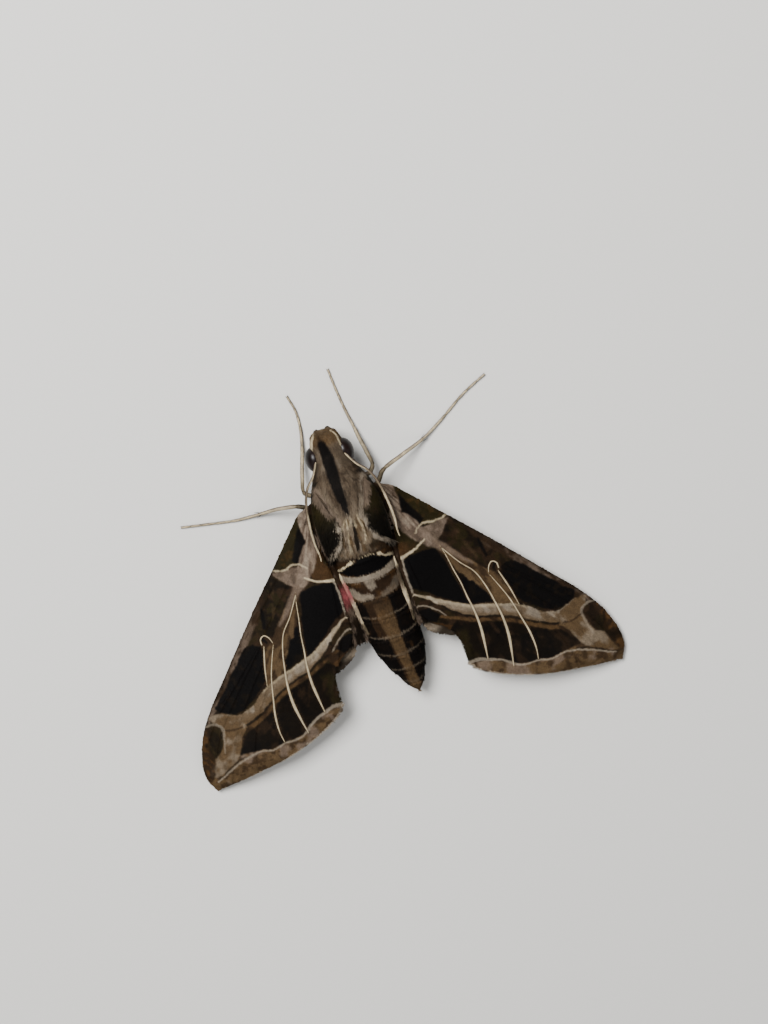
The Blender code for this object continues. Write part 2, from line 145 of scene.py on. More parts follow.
# ================================================================ numbers
def smooth_line(points, count):
    """Count places, evenly spaced along the line, on the centripetal Catmull-Rom curve through the points.

    Between two points the curve is a blend of blends: each pair of neighbours is joined by a straight
    line, the lines are blended in pairs by the knot values t, which are running sums of the square roots
    of the distances.
    """
    p = np.asarray(points, float)
    p = np.vstack([2 * p[0] - p[1], p, 2 * p[-1] - p[-2]])
    knots = np.concatenate([[0], np.cumsum(np.linalg.norm(np.diff(p[:, :3], axis=0), axis=1) ** 0.5)])
    fine = []
    for i in range(1, len(p) - 2):
        t0, t1, t2, t3 = knots[i - 1:i + 3]
        t = np.linspace(t1, t2, 24, endpoint=False)[:, None]
        a1 = (t1 - t) / (t1 - t0) * p[i - 1] + (t - t0) / (t1 - t0) * p[i]
        a2 = (t2 - t) / (t2 - t1) * p[i] + (t - t1) / (t2 - t1) * p[i + 1]
        a3 = (t3 - t) / (t3 - t2) * p[i + 1] + (t - t2) / (t3 - t2) * p[i + 2]
        b1 = (t2 - t) / (t2 - t0) * a1 + (t - t0) / (t2 - t0) * a2
        b2 = (t3 - t) / (t3 - t1) * a2 + (t - t1) / (t3 - t1) * a3
        fine.append((t2 - t) / (t2 - t1) * b1 + (t - t1) / (t2 - t1) * b2)
    fine = np.vstack(fine + [p[-2:-1]])
    run = np.concatenate([[0], np.cumsum(np.linalg.norm(np.diff(fine[:, :3], axis=0), axis=1))])
    at = np.linspace(0, run[-1], count)
    return np.stack([np.interp(at, run, column) for column in fine.T], 1)


def ease(value):
    """0 below 0, 1 above 1, and 3 v squared less 2 v cubed between them."""
    v = np.clip(value, 0, 1)
    return v * v * (3 - 2 * v)


def unit(vectors):
    """Each vector over its own length."""
    return vectors / np.maximum(np.linalg.norm(vectors, axis=-1, keepdims=True), 1e-12)


def noise(points, size, seed=0):
    """Smooth noise from 0 to 1: a random value at each corner of a lattice of cells, eased between them.

    The random value of a corner is a whole-number hash of its lattice address and the seed.
    """
    p = np.asarray(points, float) / size + 1000.0
    cell = np.floor(p).astype(np.uint32)
    share = ease(p - cell)
    total = np.zeros(p.shape[:-1])
    primes = np.array((73856093, 19349663, 83492791), np.uint32)[:p.shape[-1]]
    for corner in np.ndindex(*(2,) * p.shape[-1]):
        at = (cell + np.array(corner, np.uint32)) * primes
        mixed = np.bitwise_xor.reduce(at, axis=-1) + np.uint32(seed * 7919 + 17)
        mixed = (mixed ^ (mixed >> np.uint32(15))) * np.uint32(2246822519)
        mixed = (mixed ^ (mixed >> np.uint32(13))) * np.uint32(3266489917)
        value = ((mixed ^ (mixed >> np.uint32(16))) & np.uint32(65535)) / 65535.0
        total += np.prod(np.where(corner, share, 1 - share), axis=-1) * value
    return total


def clouds(points, size, seed=0):
    """Three layers of noise, each half as large and half as strong as the one before."""
    layers = (noise(points, size / 2**k, seed + k) * 2 ** (2 - k) for k in range(3))
    return sum(layers) / 7


def beside(points, line):
    """How far each point is from a line of straight steps, and its nearest place along the line, 0 to 1.

    On each step the nearest place is the foot of the perpendicular, held between the step's two ends.
    """
    p, line = np.asarray(points, float)[:, None], np.asarray(line, float)
    start, step = line[:-1], np.diff(line, axis=0)
    reach = np.linalg.norm(step, axis=1)
    share = np.clip(((p - start) * step).sum(-1) / np.maximum(reach, 1e-9) ** 2, 0, 1)
    gap = np.linalg.norm(p - start - share[..., None] * step, axis=-1)
    best = gap.argmin(1)
    rows = np.arange(len(best))
    run = np.concatenate([[0], np.cumsum(reach)])
    return gap[rows, best], (run[best] + share[rows, best] * reach[best]) / run[-1]


def stripe(points, line, widths, soft=0.12, count=40):
    """Cover from 0 to 1 of a stripe along a smooth line; widths are spread evenly from its start to its end.

    Only the places inside the box round the line are measured.
    """
    line = smooth_line(line, count)
    reach = max(widths) / 2 + soft
    near = ((points > line.min(0) - reach) & (points < line.max(0) + reach)).all(1)
    cover = np.zeros(len(points))
    if near.any():
        gap, along = beside(points[near], line)
        width = np.interp(along, np.linspace(0, 1, len(widths)), widths)
        cover[near] = ease((width / 2 - gap) / soft + 0.5)
    return cover


def patch(points, outline, soft=0.15):
    """Cover from 0 to 1 of the area inside a closed outline.

    A point is inside when a ray from it crosses the outline an odd number of times; the edge is softened
    by the distance from it.
    """
    shape = np.asarray(outline, float)
    near = ((points > shape.min(0) - soft) & (points < shape.max(0) + soft)).all(1)
    cover = np.zeros(len(points))
    if not near.any():
        return cover
    p = np.asarray(points, float)[near]
    closed = np.vstack([shape, shape[:1]])
    (x0, y0), (x1, y1) = closed[:-1].T, closed[1:].T
    x, y = p[:, 0:1], p[:, 1:2]
    spans = (y0 > y) != (y1 > y)
    rise = np.where(np.abs(y1 - y0) < 1e-9, 1e-9, y1 - y0)
    inside = (spans & (x < x0 + (y - y0) * (x1 - x0) / rise)).sum(1) % 2 == 1
    gap = beside(p, closed)[0]
    cover[near] = ease(np.where(inside, gap, -gap) / soft + 0.5)
    return cover


def lay(base, over, cover):
    """One colour laid over another by its cover."""
    return base + (np.asarray(over) - base) * np.asarray(cover)[:, None]


def texture(fields, steps):
    """The product of soft steps: a field as it is, or its ease((field - start) / width)."""
    cover = 1.0
    for step in steps:
        if isinstance(step, str):
            cover = cover * fields[step]
        else:
            name, start, width = step
            cover = cover * ease((fields[name] - start) / width)
    return cover


def mixture(hue, c, fields):
    """A colour by its name, or (first, second, share, *steps): the second over the first by a share."""
    if isinstance(hue, str):
        return getattr(c, hue)
    first, second, share, *steps = hue
    first, second = mixture(first, c, fields), mixture(second, c, fields)
    return first + (second - first) * np.atleast_1d(share * texture(fields, steps))[:, None]


def draw(paint, plan, c, fields, rows):
    """Rows of marks laid over the paint one after another, seen in plan.

    A row is (colour, strength, steps, places, widths, softness and pieces of the curve). With widths it is a
    stripe along its places, without widths the patch inside them, and without places it covers everything.
    """
    for hue, strength, steps, *shape in rows:
        cover = strength * texture(fields, steps)
        if shape:
            places, widths, *edge = shape
            cover = cover * (stripe(plan, places, widths, *edge) if widths else patch(plan, places, *edge))
        paint = lay(paint, mixture(hue, c, fields), np.broadcast_to(cover, len(plan)))
    return paint


# ================================================================ meshes
def put(points):
    """Table millimetres to metres, set on the solids."""
    return np.asarray(points) * MM + ORIGIN


def grid_faces(rows, columns, around=False):
    """The four corners of each cell of a grid of vertices; around joins the last column to the first."""
    index = np.arange(rows * columns).reshape(rows, columns)
    if around:
        index = np.hstack([index, index[:, :1]])
    return np.stack([index[:-1, :-1], index[:-1, 1:], index[1:, 1:], index[1:, :-1]], -1).reshape(-1, 4)


def make_piece(name, points, faces, finish, nodes=(), colours=None, bake_map=None, marks=None):
    """A piece from table points, a list of face arrays, a colour for each point and a map for baking."""
    loops = np.concatenate([f.ravel() for f in faces]).astype(np.int32)
    corners = np.concatenate([np.full(len(f), f.shape[1]) for f in faces])
    starts = np.concatenate([[0], np.cumsum(corners)[:-1]]).astype(np.int32)
    mesh = bpy.data.meshes.new(name)
    mesh.vertices.add(len(points))
    mesh.vertices.foreach_set("co", put(points).astype(np.float32).ravel())
    mesh.loops.add(len(loops))
    mesh.loops.foreach_set("vertex_index", loops)
    mesh.polygons.add(len(starts))
    mesh.polygons.foreach_set("loop_start", starts)
    mesh.update(calc_edges=True)
    if mesh.validate():
        raise RuntimeError(name + " has broken faces")
    mesh.shade_smooth()
    if colours is not None:
        layer = mesh.color_attributes.new("markings", "FLOAT_COLOR", "POINT")
        rgba = np.concatenate([np.clip(colours, 0, 1), np.ones((len(points), 1))], 1)
        layer.data.foreach_set("color", rgba.astype(np.float32).ravel())
    for label, values in (marks or {}).items():
        mesh.attributes.new(label, "FLOAT", "POINT").data.foreach_set("value",
            values.astype(np.float32).ravel())
    if bake_map is not None:
        chart = mesh.uv_layers.new(name="OFBake")
        chart.data.foreach_set("uv", bake_map[loops].astype(np.float32).ravel())
    mesh.materials.append(finish)
    piece = bpy.data.objects.new(name, mesh)
    bpy.context.scene.collection.objects.link(piece)
    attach(piece, "root")
    if nodes:
        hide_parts(*nodes)
    return piece


def surface_frame(surface, u, v, step=1e-3):
    """Place, outward normal and the two directions of growth on a surface of two parameters.

    The directions are the differences between the surface a small step before and behind; the normal is
    their cross product.
    """
    here = surface(u, v)
    along = surface(np.minimum(u + step, 1), v) - surface(np.maximum(u - step, 0), v)
    across = surface(u, v + step) - surface(u, v - step)
    return here, unit(np.cross(across, along)), unit(along), unit(across)


def scatter(surface, rows, columns, spacing, rng, span=((0, 1), (0, 1)), thin=None):
    """Places spread evenly over a surface of two parameters.

    The surface is cut into cells. Each cell gets its own area over the square of the spacing, rounded up
    or down by chance, and each place in it is moved at random. thin(places) gives a spacing factor for
    each cell.
    """
    u_edge, v_edge = np.linspace(*span[0], rows + 1), np.linspace(*span[1], columns + 1)
    u_grid, v_grid = np.meshgrid(u_edge, v_edge, indexing="ij")
    at = surface(u_grid.ravel(), v_grid.ravel()).reshape(rows + 1, columns + 1, 3)
    area = np.linalg.norm(np.cross(at[1:, :-1] - at[:-1, :-1], at[:-1, 1:] - at[:-1, :-1]), axis=-1)
    middle = (at[1:, :-1] + at[:-1, 1:]) / 2
    factor = 1.0 if thin is None else thin(middle.reshape(-1, 3)).reshape(rows, columns)
    wanted = np.floor(area / (spacing * factor) ** 2 + rng.random(area.shape)).astype(int)
    i, j = (np.repeat(k.ravel(), wanted.ravel()) for k in np.indices(area.shape))
    u = u_edge[i] + (u_edge[i + 1] - u_edge[i]) * rng.random(len(i))
    v = v_edge[j] + (v_edge[j + 1] - v_edge[j]) * rng.random(len(j))
    return u, v


HAIR = ((0.0, 0.55), (0.4, 1.0), (0.75, 0.7), (1.0, 0.0))
SHIELD = ((0.0, 0.5), (0.55, 1.0), (1.0, 0.55))


def blades(roots, normals, lie, length, width, lift, curl, shape=HAIR):
    """Flat tapering blades, one for each root.

    At share t of its length a blade's middle is at root + lie t length + normal (lift t + curl t squared)
    length, and its edges are half its width to either side, times the width share that shape gives for t.
    """
    count = len(roots)
    length, width, lift, curl = (
        np.broadcast_to(np.asarray(x, float), (count,)) for x in (length, width, lift, curl))
    lie = unit(lie - (lie * normals).sum(-1, keepdims=True) * normals)
    across = np.cross(normals, lie)
    stations, shares = [], []
    for t, share in shape:
        rise = (lift * t + curl * t * t) * length
        middle = roots + lie * (t * length)[:, None] + normals * rise[:, None]
        if share == 0:
            stations.append(middle[:, None])
            shares.append([(0.5, t)])
        else:
            half = across * (width * share / 2)[:, None]
            stations.append(np.stack([middle - half, middle + half], 1))
            shares.append([(0.5 - share / 2, t), (0.5 + share / 2, t)])
    points = np.concatenate(stations, 1)
    per = points.shape[1]
    first = (np.arange(count) * per)[:, None]
    pairs = per // 2
    quads = [first + np.array((2 * k, 2 * k + 1, 2 * k + 3, 2 * k + 2)) for k in range(pairs - 1)]
    faces = [np.concatenate(quads)]
    if per % 2:
        faces.append(first + np.array((per - 3, per - 2, per - 1)))
    patch_uv = np.concatenate([np.array(s) for s in shares])
    return points.reshape(-1, 3), faces, per, patch_uv


def coat_piece(name, parts, finish):
    """One piece of many blades; each part is (blades, colours, place of each root on the skin's map).

    The colours are one for each blade, or one for each of its points.
    """
    points, faces, colours, chart, tips = [], [], [], [], []
    start = 0
    for (places, polygons, per, patch_uv), paint, roots in parts:
        points.append(places)
        faces += [f + start for f in polygons]
        colours.append(paint if len(paint) == len(places) else np.repeat(paint, per, 0))
        spot = (patch_uv - (0.5, 0.5)) * CHART
        chart.append((roots[:, None] * 0.99 + 0.005 + spot).reshape(-1, 2))
        tips.append(np.tile(patch_uv[:, 1], len(roots)))
        start += len(places)
    merged = {}
    for f in faces:
        merged.setdefault(f.shape[1], []).append(f)
    faces = [np.concatenate(f) for f in merged.values()]
    triangles = sum(len(f) * (f.shape[1] - 2) for f in faces)
    if triangles >= MOST_TRIANGLES:
        raise RuntimeError(f"{name} has {triangles} triangles")
    return make_piece(name, np.concatenate(points), faces, finish, (), np.concatenate(colours),
                      np.concatenate(chart), {"tip": np.concatenate(tips)})


# ================================================================ the body's form
# y, half width, top, underside
BODY = np.array((
    (-1.2, 0.0, 4.4, 4.4), (-0.85, 1.7, 5.8, 3.3), (0.3, 2.35, 7.0, 2.8), (2.1, 2.75, 8.0, 2.4),
    (4.2, 3.2, 8.8, 2.2), (5.8, 3.85, 9.3, 2.0), (8.0, 4.7, 9.9, 1.8), (11.0, 5.2, 10.5, 1.5),
    (14.1, 5.2, 10.5, 1.4), (16.9, 4.7, 9.9, 1.5), (20.0, 4.3, 9.1, 1.6), (23.4, 4.15, 8.5, 1.5),
    (27.3, 4.15, 7.9, 1.2), (31.1, 4.0, 7.1, 1.1), (34.2, 3.65, 6.3, 1.0), (36.8, 3.0, 5.5, 1.1),
    (38.8, 2.15, 4.8, 1.4), (40.9, 1.15, 4.0, 2.0), (42.1, 0.0, 3.0, 3.0),
))
BODY_LINE = smooth_line(BODY, 500)
SNOUT_Y, TAIL_Y = BODY[0, 0], BODY[-1, 0]
MIDLINE = np.array(((18.0, 0.0), (24.0, -0.25), (30.0, -0.6), (36.0, -1.1), (42.2, -1.6)))
SEGMENT_RINGS = np.array((17.0, 20.6, 24.0, 27.5, 31.1, 34.4, 37.5, 39.9, 42.4))
NECK_Y, WAIST_Y = 5.5, 16.7


def body_share(y):
    """Place along the skin, 0 to 1, of a distance back from the snout; places crowd towards both ends."""
    return np.arccos(1 - 2 * np.clip((y - SNOUT_Y) / (TAIL_Y - SNOUT_Y), 0, 1)) / math.pi


def body_y(u):
    """Distance back from the snout: the body's length times (1 - cos(pi u)) / 2."""
    return SNOUT_Y + (TAIL_Y - SNOUT_Y) * (1 - np.cos(math.pi * u)) / 2


def middle_x(y):
    """How far the body's middle lies from x = 0."""
    return np.interp(y, *MIDLINE.T)


def body_ring(y):
    """Half width, top and underside of the body's ring at each distance back."""
    return [np.interp(y, BODY_LINE[:, 0], BODY_LINE[:, i]) for i in (1, 2, 3)]


def body_side(y, z, sign):
    """Where the body's side is at a height, counted towards one side: the x of the ring's ellipse."""
    half_width, top, under = body_ring(y)
    share = (z - (top + under) / 2) / ((top - under) / 2)
    return half_width * np.sqrt(np.clip(1 - share**2, 0, 1)) + sign * middle_x(y)


def segment_share(y):
    """How far a place is along its own segment of the abdomen, 0 to 1."""
    number = np.interp(y, SEGMENT_RINGS, np.arange(len(SEGMENT_RINGS)))
    return number - np.floor(number)


def body_relief(y, turn):
    """How far the skin stands out of the plain form.

    Bell curves sink the neck, the waist and each ring between two segments and raise the collar; between two
    rings the back of each segment swells with the square of the share of its length.
    """
    def bell(at, width):
        return np.exp(-(((y - at) / width) ** 2))

    top = ease(np.cos(turn) + 0.3)
    relief = -0.05 * bell(NECK_Y, 0.5) + 0.04 * bell(6.8, 0.8) * top - 0.12 * bell(WAIST_Y, 0.4)
    relief -= 0.10 * bell(9.3, 3.2) * np.exp(-((turn / 0.16) ** 2))
    on_abdomen = ease((y - 17.0) / 1.5) * ease((41.6 - y) / 1.5)
    for ring in SEGMENT_RINGS[1:-1]:
        relief -= 0.13 * bell(ring + 0.08, 0.2)
    return relief + 0.12 * segment_share(y) ** 2 * on_abdomen


def body_surface(u, v, depth=0.0):
    """The body's skin: u runs from snout to tail, v turns once round it from the belly by the left side.

    A ring at y is an ellipse: x = half width sin(turn), z = middle + half height cos(turn), both made
    smaller by the depth of the coat and larger by the relief.
    """
    y = body_y(u)
    turn = 2 * math.pi * (v - 0.5)
    half_width, top, under = body_ring(y)
    near_end = ease((y - SNOUT_Y) / 1.2) * ease((TAIL_Y - y) / 1.6)
    sunk = depth * np.interp(y, (0, 4, 8, 15, 20), (0.4, 0.5, 0.85, 0.85, 0.5))
    grown = (body_relief(y, turn) - sunk) * near_end
    x = np.maximum(half_width + grown, 0) * np.sin(turn)
    z = (top + under) / 2 + np.maximum((top - under) / 2 + grown, 0) * np.cos(turn)
    return np.stack([x + middle_x(y), y, z], -1)


def mirrored(points):
    """The same outline on the other side of the midline."""
    return [(-x, y) for x, y in points]


RIM = ((3.35, 6.2), (2.95, 7.6), (2.25, 9.2), (1.45, 10.9))
EYE_LINE = ((2.7, 5.0), (3.4, 5.5), (4.1, 6.1))
MIDDLE = ((0.6, 0.25), (0.45, 1.0), (0.35, 2.5), (0.42, 4.8), (0.33, 7.1), (0.18, 9.8))
LEFT_LOBE = ((0.3, 10.5), (0.95, 10.5), (2.1, 12.5), (2.9, 14.3), (3.7, 15.9), (1.8, 16.2), (0.5, 16.2),
    (0.3, 14.6), (0.1, 12.4))
RIGHT_LOBE = ((-0.2, 10.4), (-0.95, 10.3), (-1.95, 12.0), (-2.55, 13.9), (-3.75, 15.2), (-4.7, 17.0),
    (-2.1, 16.5), (-0.3, 15.9), (-0.2, 13.5))
# Rows of marks for draw()
FRONT_MARKS = (
    ("umber", 0.5, (("strands", 0.52, -0.2),)),
    ("bone", 0.4, (("strands", 0.58, 1 / 6),)),
    ("bark", 0.45, ("gaps", ("back", 3.0, 2.0))),
    # head
    ("tan", 0.85, ("cap",)),
    ("clay", 0.35, ("cap", ("freckle", 0.45, 0.2))),
    ("umber", 0.45, (("back", 5.5, -1.5), "off_cap")),
    ("umber", 0.6, (("far", 2.4, 0.3), ("back", 5.6, -0.6))),
    ("cream", 0.9, (), ((1.3, -1.0), (1.85, -0.4), (2.3, 0.9), (2.65, 2.3), (2.9, 3.2)),
        (0.16, 0.36, 0.46, 0.44, 0.2), 0.12),
    ("cream", 0.85, (), ((-1.2, -0.9), (-1.6, -0.5), (-1.95, 0.95), (-2.62, 2.9), (-3.5, 5.0)),
        (0.12, 0.2, 0.24, 0.22, 0.2), 0.12),
    ("bark", 0.8, (), EYE_LINE, (0.12, 0.4, 0.5), 0.2),
    ("bark", 0.8, (), mirrored(EYE_LINE), (0.12, 0.4, 0.5), 0.2),
    ("umber", 0.7, (), ((-2.2, 4.2), (-2.7, 4.5), (-3.0, 4.7)), (0.1, 0.3, 0.1), 0.2),
    # disc
    ("umber", 0.5, (), ((1.5, 3.6), (1.35, 6.0), (1.1, 8.0), (0.7, 9.8)), (0.5, 1.0, 1.0, 0.5), 0.5),
    ("umber", 0.4, (), ((-0.7, 4.6), (-0.75, 7.0), (-0.55, 9.4)), (0.3, 0.7, 0.4), 0.4),
    ("rosy", 0.65, ("half_streaks",), RIM, (0.9, 1.15, 1.0, 0.7), 0.25),
    ("bone", 0.5, ("half_streaks",), mirrored(RIM), (0.9, 1.1, 1.1, 0.8), 0.25),
    ("bark", 0.5, (), ((2.6, 6.4), (2.2, 8.2), (1.4, 9.9)), (0.12, 0.2, 0.12), 0.2),
    ("bark", 0.5, (), ((-2.4, 6.0), (-1.9, 8.2), (-1.1, 10.4)), (0.12, 0.2, 0.12), 0.2),
    ("umber", 0.8, (), ((0.75, -0.6), (0.65, 0.1), (0.5, 0.9)), (0.5, 1.3, 1.5), 0.5),
    ("soot", 0.96, (), MIDDLE, (1.2, 1.75, 1.7, 1.5, 1.2, 0.55), 0.35),
    # crest
    ("tan", 0.85, (), LEFT_LOBE, (), 0.3),
    ("umber", 0.6, (("strands", 0.45, -1 / 6),), LEFT_LOBE, (), 0.3),
    ("bone", 0.38, ("streaks",), LEFT_LOBE, (), 0.3),
    ("tan", 0.85, (), RIGHT_LOBE, (), 0.3),
    ("umber", 0.6, (("strands", 0.45, -1 / 6),), RIGHT_LOBE, (), 0.3),
    ("bone", 0.25, ("streaks",), RIGHT_LOBE, (), 0.3),
    (("umber", "olive", 0.5, "streaks"), 0.85, (), ((-1.8, 14.6), (-3.2, 15.1), (-4.6, 16.9), (-2.2, 16.4),
        (-1.2, 15.6)), (), 0.4),
    ("bark", 0.95, (), ((-0.2, 11.4), (-0.05, 12.9), (0.15, 14.2), (0.3, 15.4)), (0.25, 0.5, 0.7, 0.4),
        0.2),
    # Cream curls and lobe edges of the crest: pale hair tips with painted highlights, stronger on the left
    # lobe.
    ("cream", 0.558, (), ((0.9, 10.7), (2.05, 12.5), (2.25, 13.6), (2.95, 14.7), (3.6, 16.0)),
        (0.12, 0.26, 0.22, 0.28, 0.34), 0.18, 12),
    ("cream", 0.341, (), ((-0.95, 10.4), (-1.9, 12.0), (-2.5, 13.5), (-3.7, 15.1), (-4.4, 15.9)),
        (0.12, 0.2, 0.18, 0.2, 0.15), 0.18, 12),
    ("cream", 0.527, (), ((0.62, 10.5), (0.8, 11.7)), (0.15, 0.3), 0.18, 12),
    ("cream", 0.496, (), ((0.0, 10.8), (0.35, 11.5)), (0.15, 0.28), 0.18, 12),
    ("cream", 0.496, (), ((-0.35, 10.9), (-0.4, 11.8)), (0.2, 0.3), 0.18, 12),
    ("cream", 0.496, (), ((-1.0, 10.9), (-1.25, 12.0)), (0.2, 0.32), 0.18, 12),
    ("cream", 0.372, (), ((-1.15, 12.3), (-1.3, 13.4), (-0.9, 14.6)), (0.15, 0.25, 0.3), 0.18, 12),
    ("cream", 0.31, (), ((0.9, 12.4), (1.2, 14.0), (1.3, 15.4)), (0.15, 0.3, 0.3), 0.18, 12),
    ("soot", 0.9, (("past_rim", 0.0, 0.2), ("y", 6.3, 0.6), ("y", 15.6, -0.5))),
    ("umber", 0.85, (("waist", 0.0, 0.5),)),
)
BLOTCH = ((3.6, 22.0), (3.0, 21.9), (2.1, 22.9), (0.5, 23.4), (0.6, 23.9), (2.9, 23.9), (3.8, 23.0))
ABDOMEN_MARKS = (
    ("clay", 0.6, (("cloud", 0.4, 0.25),)),
    ("bark", 0.6, (("fleck", 0.55, 0.2),)),
    ("soot", 1.0, (), ((0.0, 16.75), (2.3, 17.8), (4.2, 18.9), (3.0, 19.5), (1.2, 19.9), (-1.2, 19.9),
        (-3.0, 19.6), (-4.4, 19.1), (-3.2, 18.2), (-1.7, 17.3)), (), 0.15),
    ("cream", 0.9, (), ((4.6, 19.3), (3.7, 18.6), (2.1, 17.5), (0.0, 16.6), (-2.0, 17.3), (-3.6, 18.5),
        (-4.5, 19.4)), (0.35, 0.25, 0.3, 0.25, 0.35), 0.12),
    ("bone", 0.78, ("crescent",)),
    ("bone", 0.6, (), BLOTCH, (), 0.4),
    ("bone", 0.25, (), mirrored(BLOTCH), (), 0.4),
    ("bone", 0.55, (), ((1.1, 20.6), (-0.2, 20.6), (-0.3, 22.3), (0.6, 22.7), (1.0, 22.0)), (), 0.4),
    ("soot", 0.93, ("dark_side",)),
    ("umber", 0.6, ("brown_side",)),
    ("tan", 0.75, ("stripe", ("back", 23.0, 6.0))),
)
# Place, strength and reach to the sides of the pale line behind each segment
SEGMENT_LINES = ((23.9, 0.7, 3.4), (27.35, 0.75, 3.4), (31.0, 0.8, 4.2), (34.3, 0.6, 3.6), (37.2, 0.7, 3.4),
    (39.7, 0.5, 2.5))


def body_colours(points, c):
    """Colour of the body's scales at table points: marks laid over each other, drawn as seen from above.

    The flanks and the belly are told by the height within the ring that a point belongs to.
    """
    x, y, z = np.asarray(points, float).T
    _, top, under = body_ring(y)
    rise = (z - under) / np.maximum(top - under, 0.5)
    fine = clouds(points, 0.9, 3) - 0.5
    plan = np.stack([x - middle_x(y) + 0.22 * fine, y + 0.4 * (clouds(points, 1.1, 11) - 0.5)], 1)
    dx, back = plan.T
    far = np.abs(dx)
    streaks = ease((clouds(points * (1, 0.3, 1), 0.45, 41) - 0.4) * 5)
    cap = ease((0.9 - back) / 0.8)
    rim = np.interp(y, (5.9, 7.7, 9.2, 10.8, 12.6, 14.4, 15.8), (3.95, 3.45, 2.65, 2.0, 2.25, 3.1, 3.9))
    fields = {
        "y": y, "back": back, "far": far, "cap": cap, "off_cap": 1 - cap, "past_rim": far - rim,
        "strands": clouds(points * (1, 0.22, 1), 0.8, 31),
        "streaks": streaks, "half_streaks": 0.5 + 0.5 * streaks,
        "gaps": ease((0.04 - np.abs(noise(points * (1, 0.2, 1), 0.75, 21) - 0.5)) / 0.03),
        "freckle": clouds(points, 0.6, 23), "waist": back - 16.1 - 0.02 * dx**2,
    }
    paint = draw(np.tile(c.grey, (len(x), 1)), plan, c, fields, FRONT_MARKS)
    rear = abdomen_colours(points, plan, c)
    paint = lay(paint, rear, ease((back - 16.4 - 0.1 * far) / 0.5))
    # flanks and belly
    share = segment_share(y)
    on_segments = ease(y - 18)
    side = np.tile(c.umber, (len(x), 1))
    side = lay(side, c.rosy, 0.55 * ease((clouds(points, 1.1, 81) - 0.35) * 3))
    side = lay(side, c.bone, 0.35 * ease((share - 0.8) / 0.12) * on_segments * ease((41 - y) / 2))
    spot = ease((0.25 - np.abs(rise - 0.42)) / 0.1) * ease((share - 0.15) / 0.1) * ease((0.6 - share) / 0.1)
    side = lay(side, c.bark, 0.7 * spot * on_segments)
    paint = lay(paint, side, ease((0.52 - rise) / 0.14) * ease((y - 1.0) / 3))
    belly = lay(np.tile(c.grey, (len(x), 1)), c.bone, 0.5 * noise(points, 0.8, 91))
    return lay(paint, belly, 0.85 * ease((0.2 - rise) / 0.14))


def abdomen_colours(points, plan, c):
    """Brown with sooty sides, a tan middle stripe, a black lens at the waist and a pale line a segment."""
    dx, back = plan.T
    far = np.abs(dx)
    half = np.interp(back, (20, 24, 29, 31.5, 38, 42), (1.3, 1.3, 1.15, 0.9, 0.6, 0.9))
    inner_edge = np.where(dx > 0, np.interp(back, (24, 30.7, 31.2), (2.35, 2.2, 1.0)), half)
    behind = ease((back - 23.9) / 0.4)
    dark = ease((far - inner_edge) / 0.3 + 0.5) * behind * np.interp(back, (21, 24), (0.9, 1.0))
    crescent = ease((back - 20.0 + 0.03 * dx**2) / 0.25 + 0.5)
    crescent = crescent * ease((21.1 - 0.02 * dx**2 - back) / 0.4 + 0.5)
    fields = {
        "back": back, "cloud": clouds(points, 1.3, 51), "fleck": clouds(points, 0.8, 57),
        "crescent": crescent,
        "dark_side": dark * (1 - 0.6 * ease((clouds(points, 0.9, 61) - 0.62) * 6)),
        "brown_side": ease((far - half) / 0.3 + 0.5) * (1 - dark) * behind,
        "stripe": ease((half - far) / 0.35 + 0.5),
    }
    paint = draw(np.tile(c.umber, (len(back), 1)), plan, c, fields, ABDOMEN_MARKS)
    bend = back + 0.03 * dx**2
    broken = (0.5 + 0.5 * ease((noise(points, 0.8, 71) - 0.25) * 4)) * np.where(far < half * 0.8, 0.25, 0.5)
    for ring, strength, reach in SEGMENT_LINES:
        line = ease((0.14 - np.abs(bend - ring)) / 0.16 + 0.5) * ease((reach - far) / 0.5 + 0.5)
        paint = lay(paint, 0.5 * (c.bone + c.tan), strength * line * broken)
    return paint


def coat_shade(roots, paint, rng, amount=0.16):
    """Each blade a little lighter or darker than its neighbours; colours are one a blade or one a point."""
    grain = 1 + amount * (rng.random(len(roots)) * 2 - 1) + 0.35 * (clouds(roots, 0.35, 5) - 0.5)
    return np.clip(paint * np.repeat(grain, len(paint) // len(roots))[:, None], 0, 1)


class Palette:
    """The colours of the panel as arrays."""

    def __init__(self, colours):
        for name in MothColours.__annotations__:
            setattr(self, name, np.array(getattr(colours, name)))


def tools(context, salt):
    """Sizes, colours and a seeded scatter for one operator."""
    sizes = context.scene.moth_sizes
    return sizes, Palette(context.scene.moth_colours), np.random.default_rng(sizes.seed * 100 + salt)


# ================================================================ finishes
def blank_finish(name):
    """A material, a function that sets up its shader, one that adds a node and one that links sockets."""
    made = bpy.data.materials.new(name)
    made.use_nodes = True
    tree = made.node_tree

    def settle(node, settings):
        for label, value in settings.items():
            node.inputs[label.replace("_", " ")].default_value = value
        return node

    def add(kind, **settings):
        return settle(tree.nodes.new("ShaderNode" + kind), settings)

    def join(*pairs):
        for source, target in pairs:
            tree.links.new(source, target)

    return made, lambda **settings: settle(tree.nodes["Principled BSDF"], settings), add, join


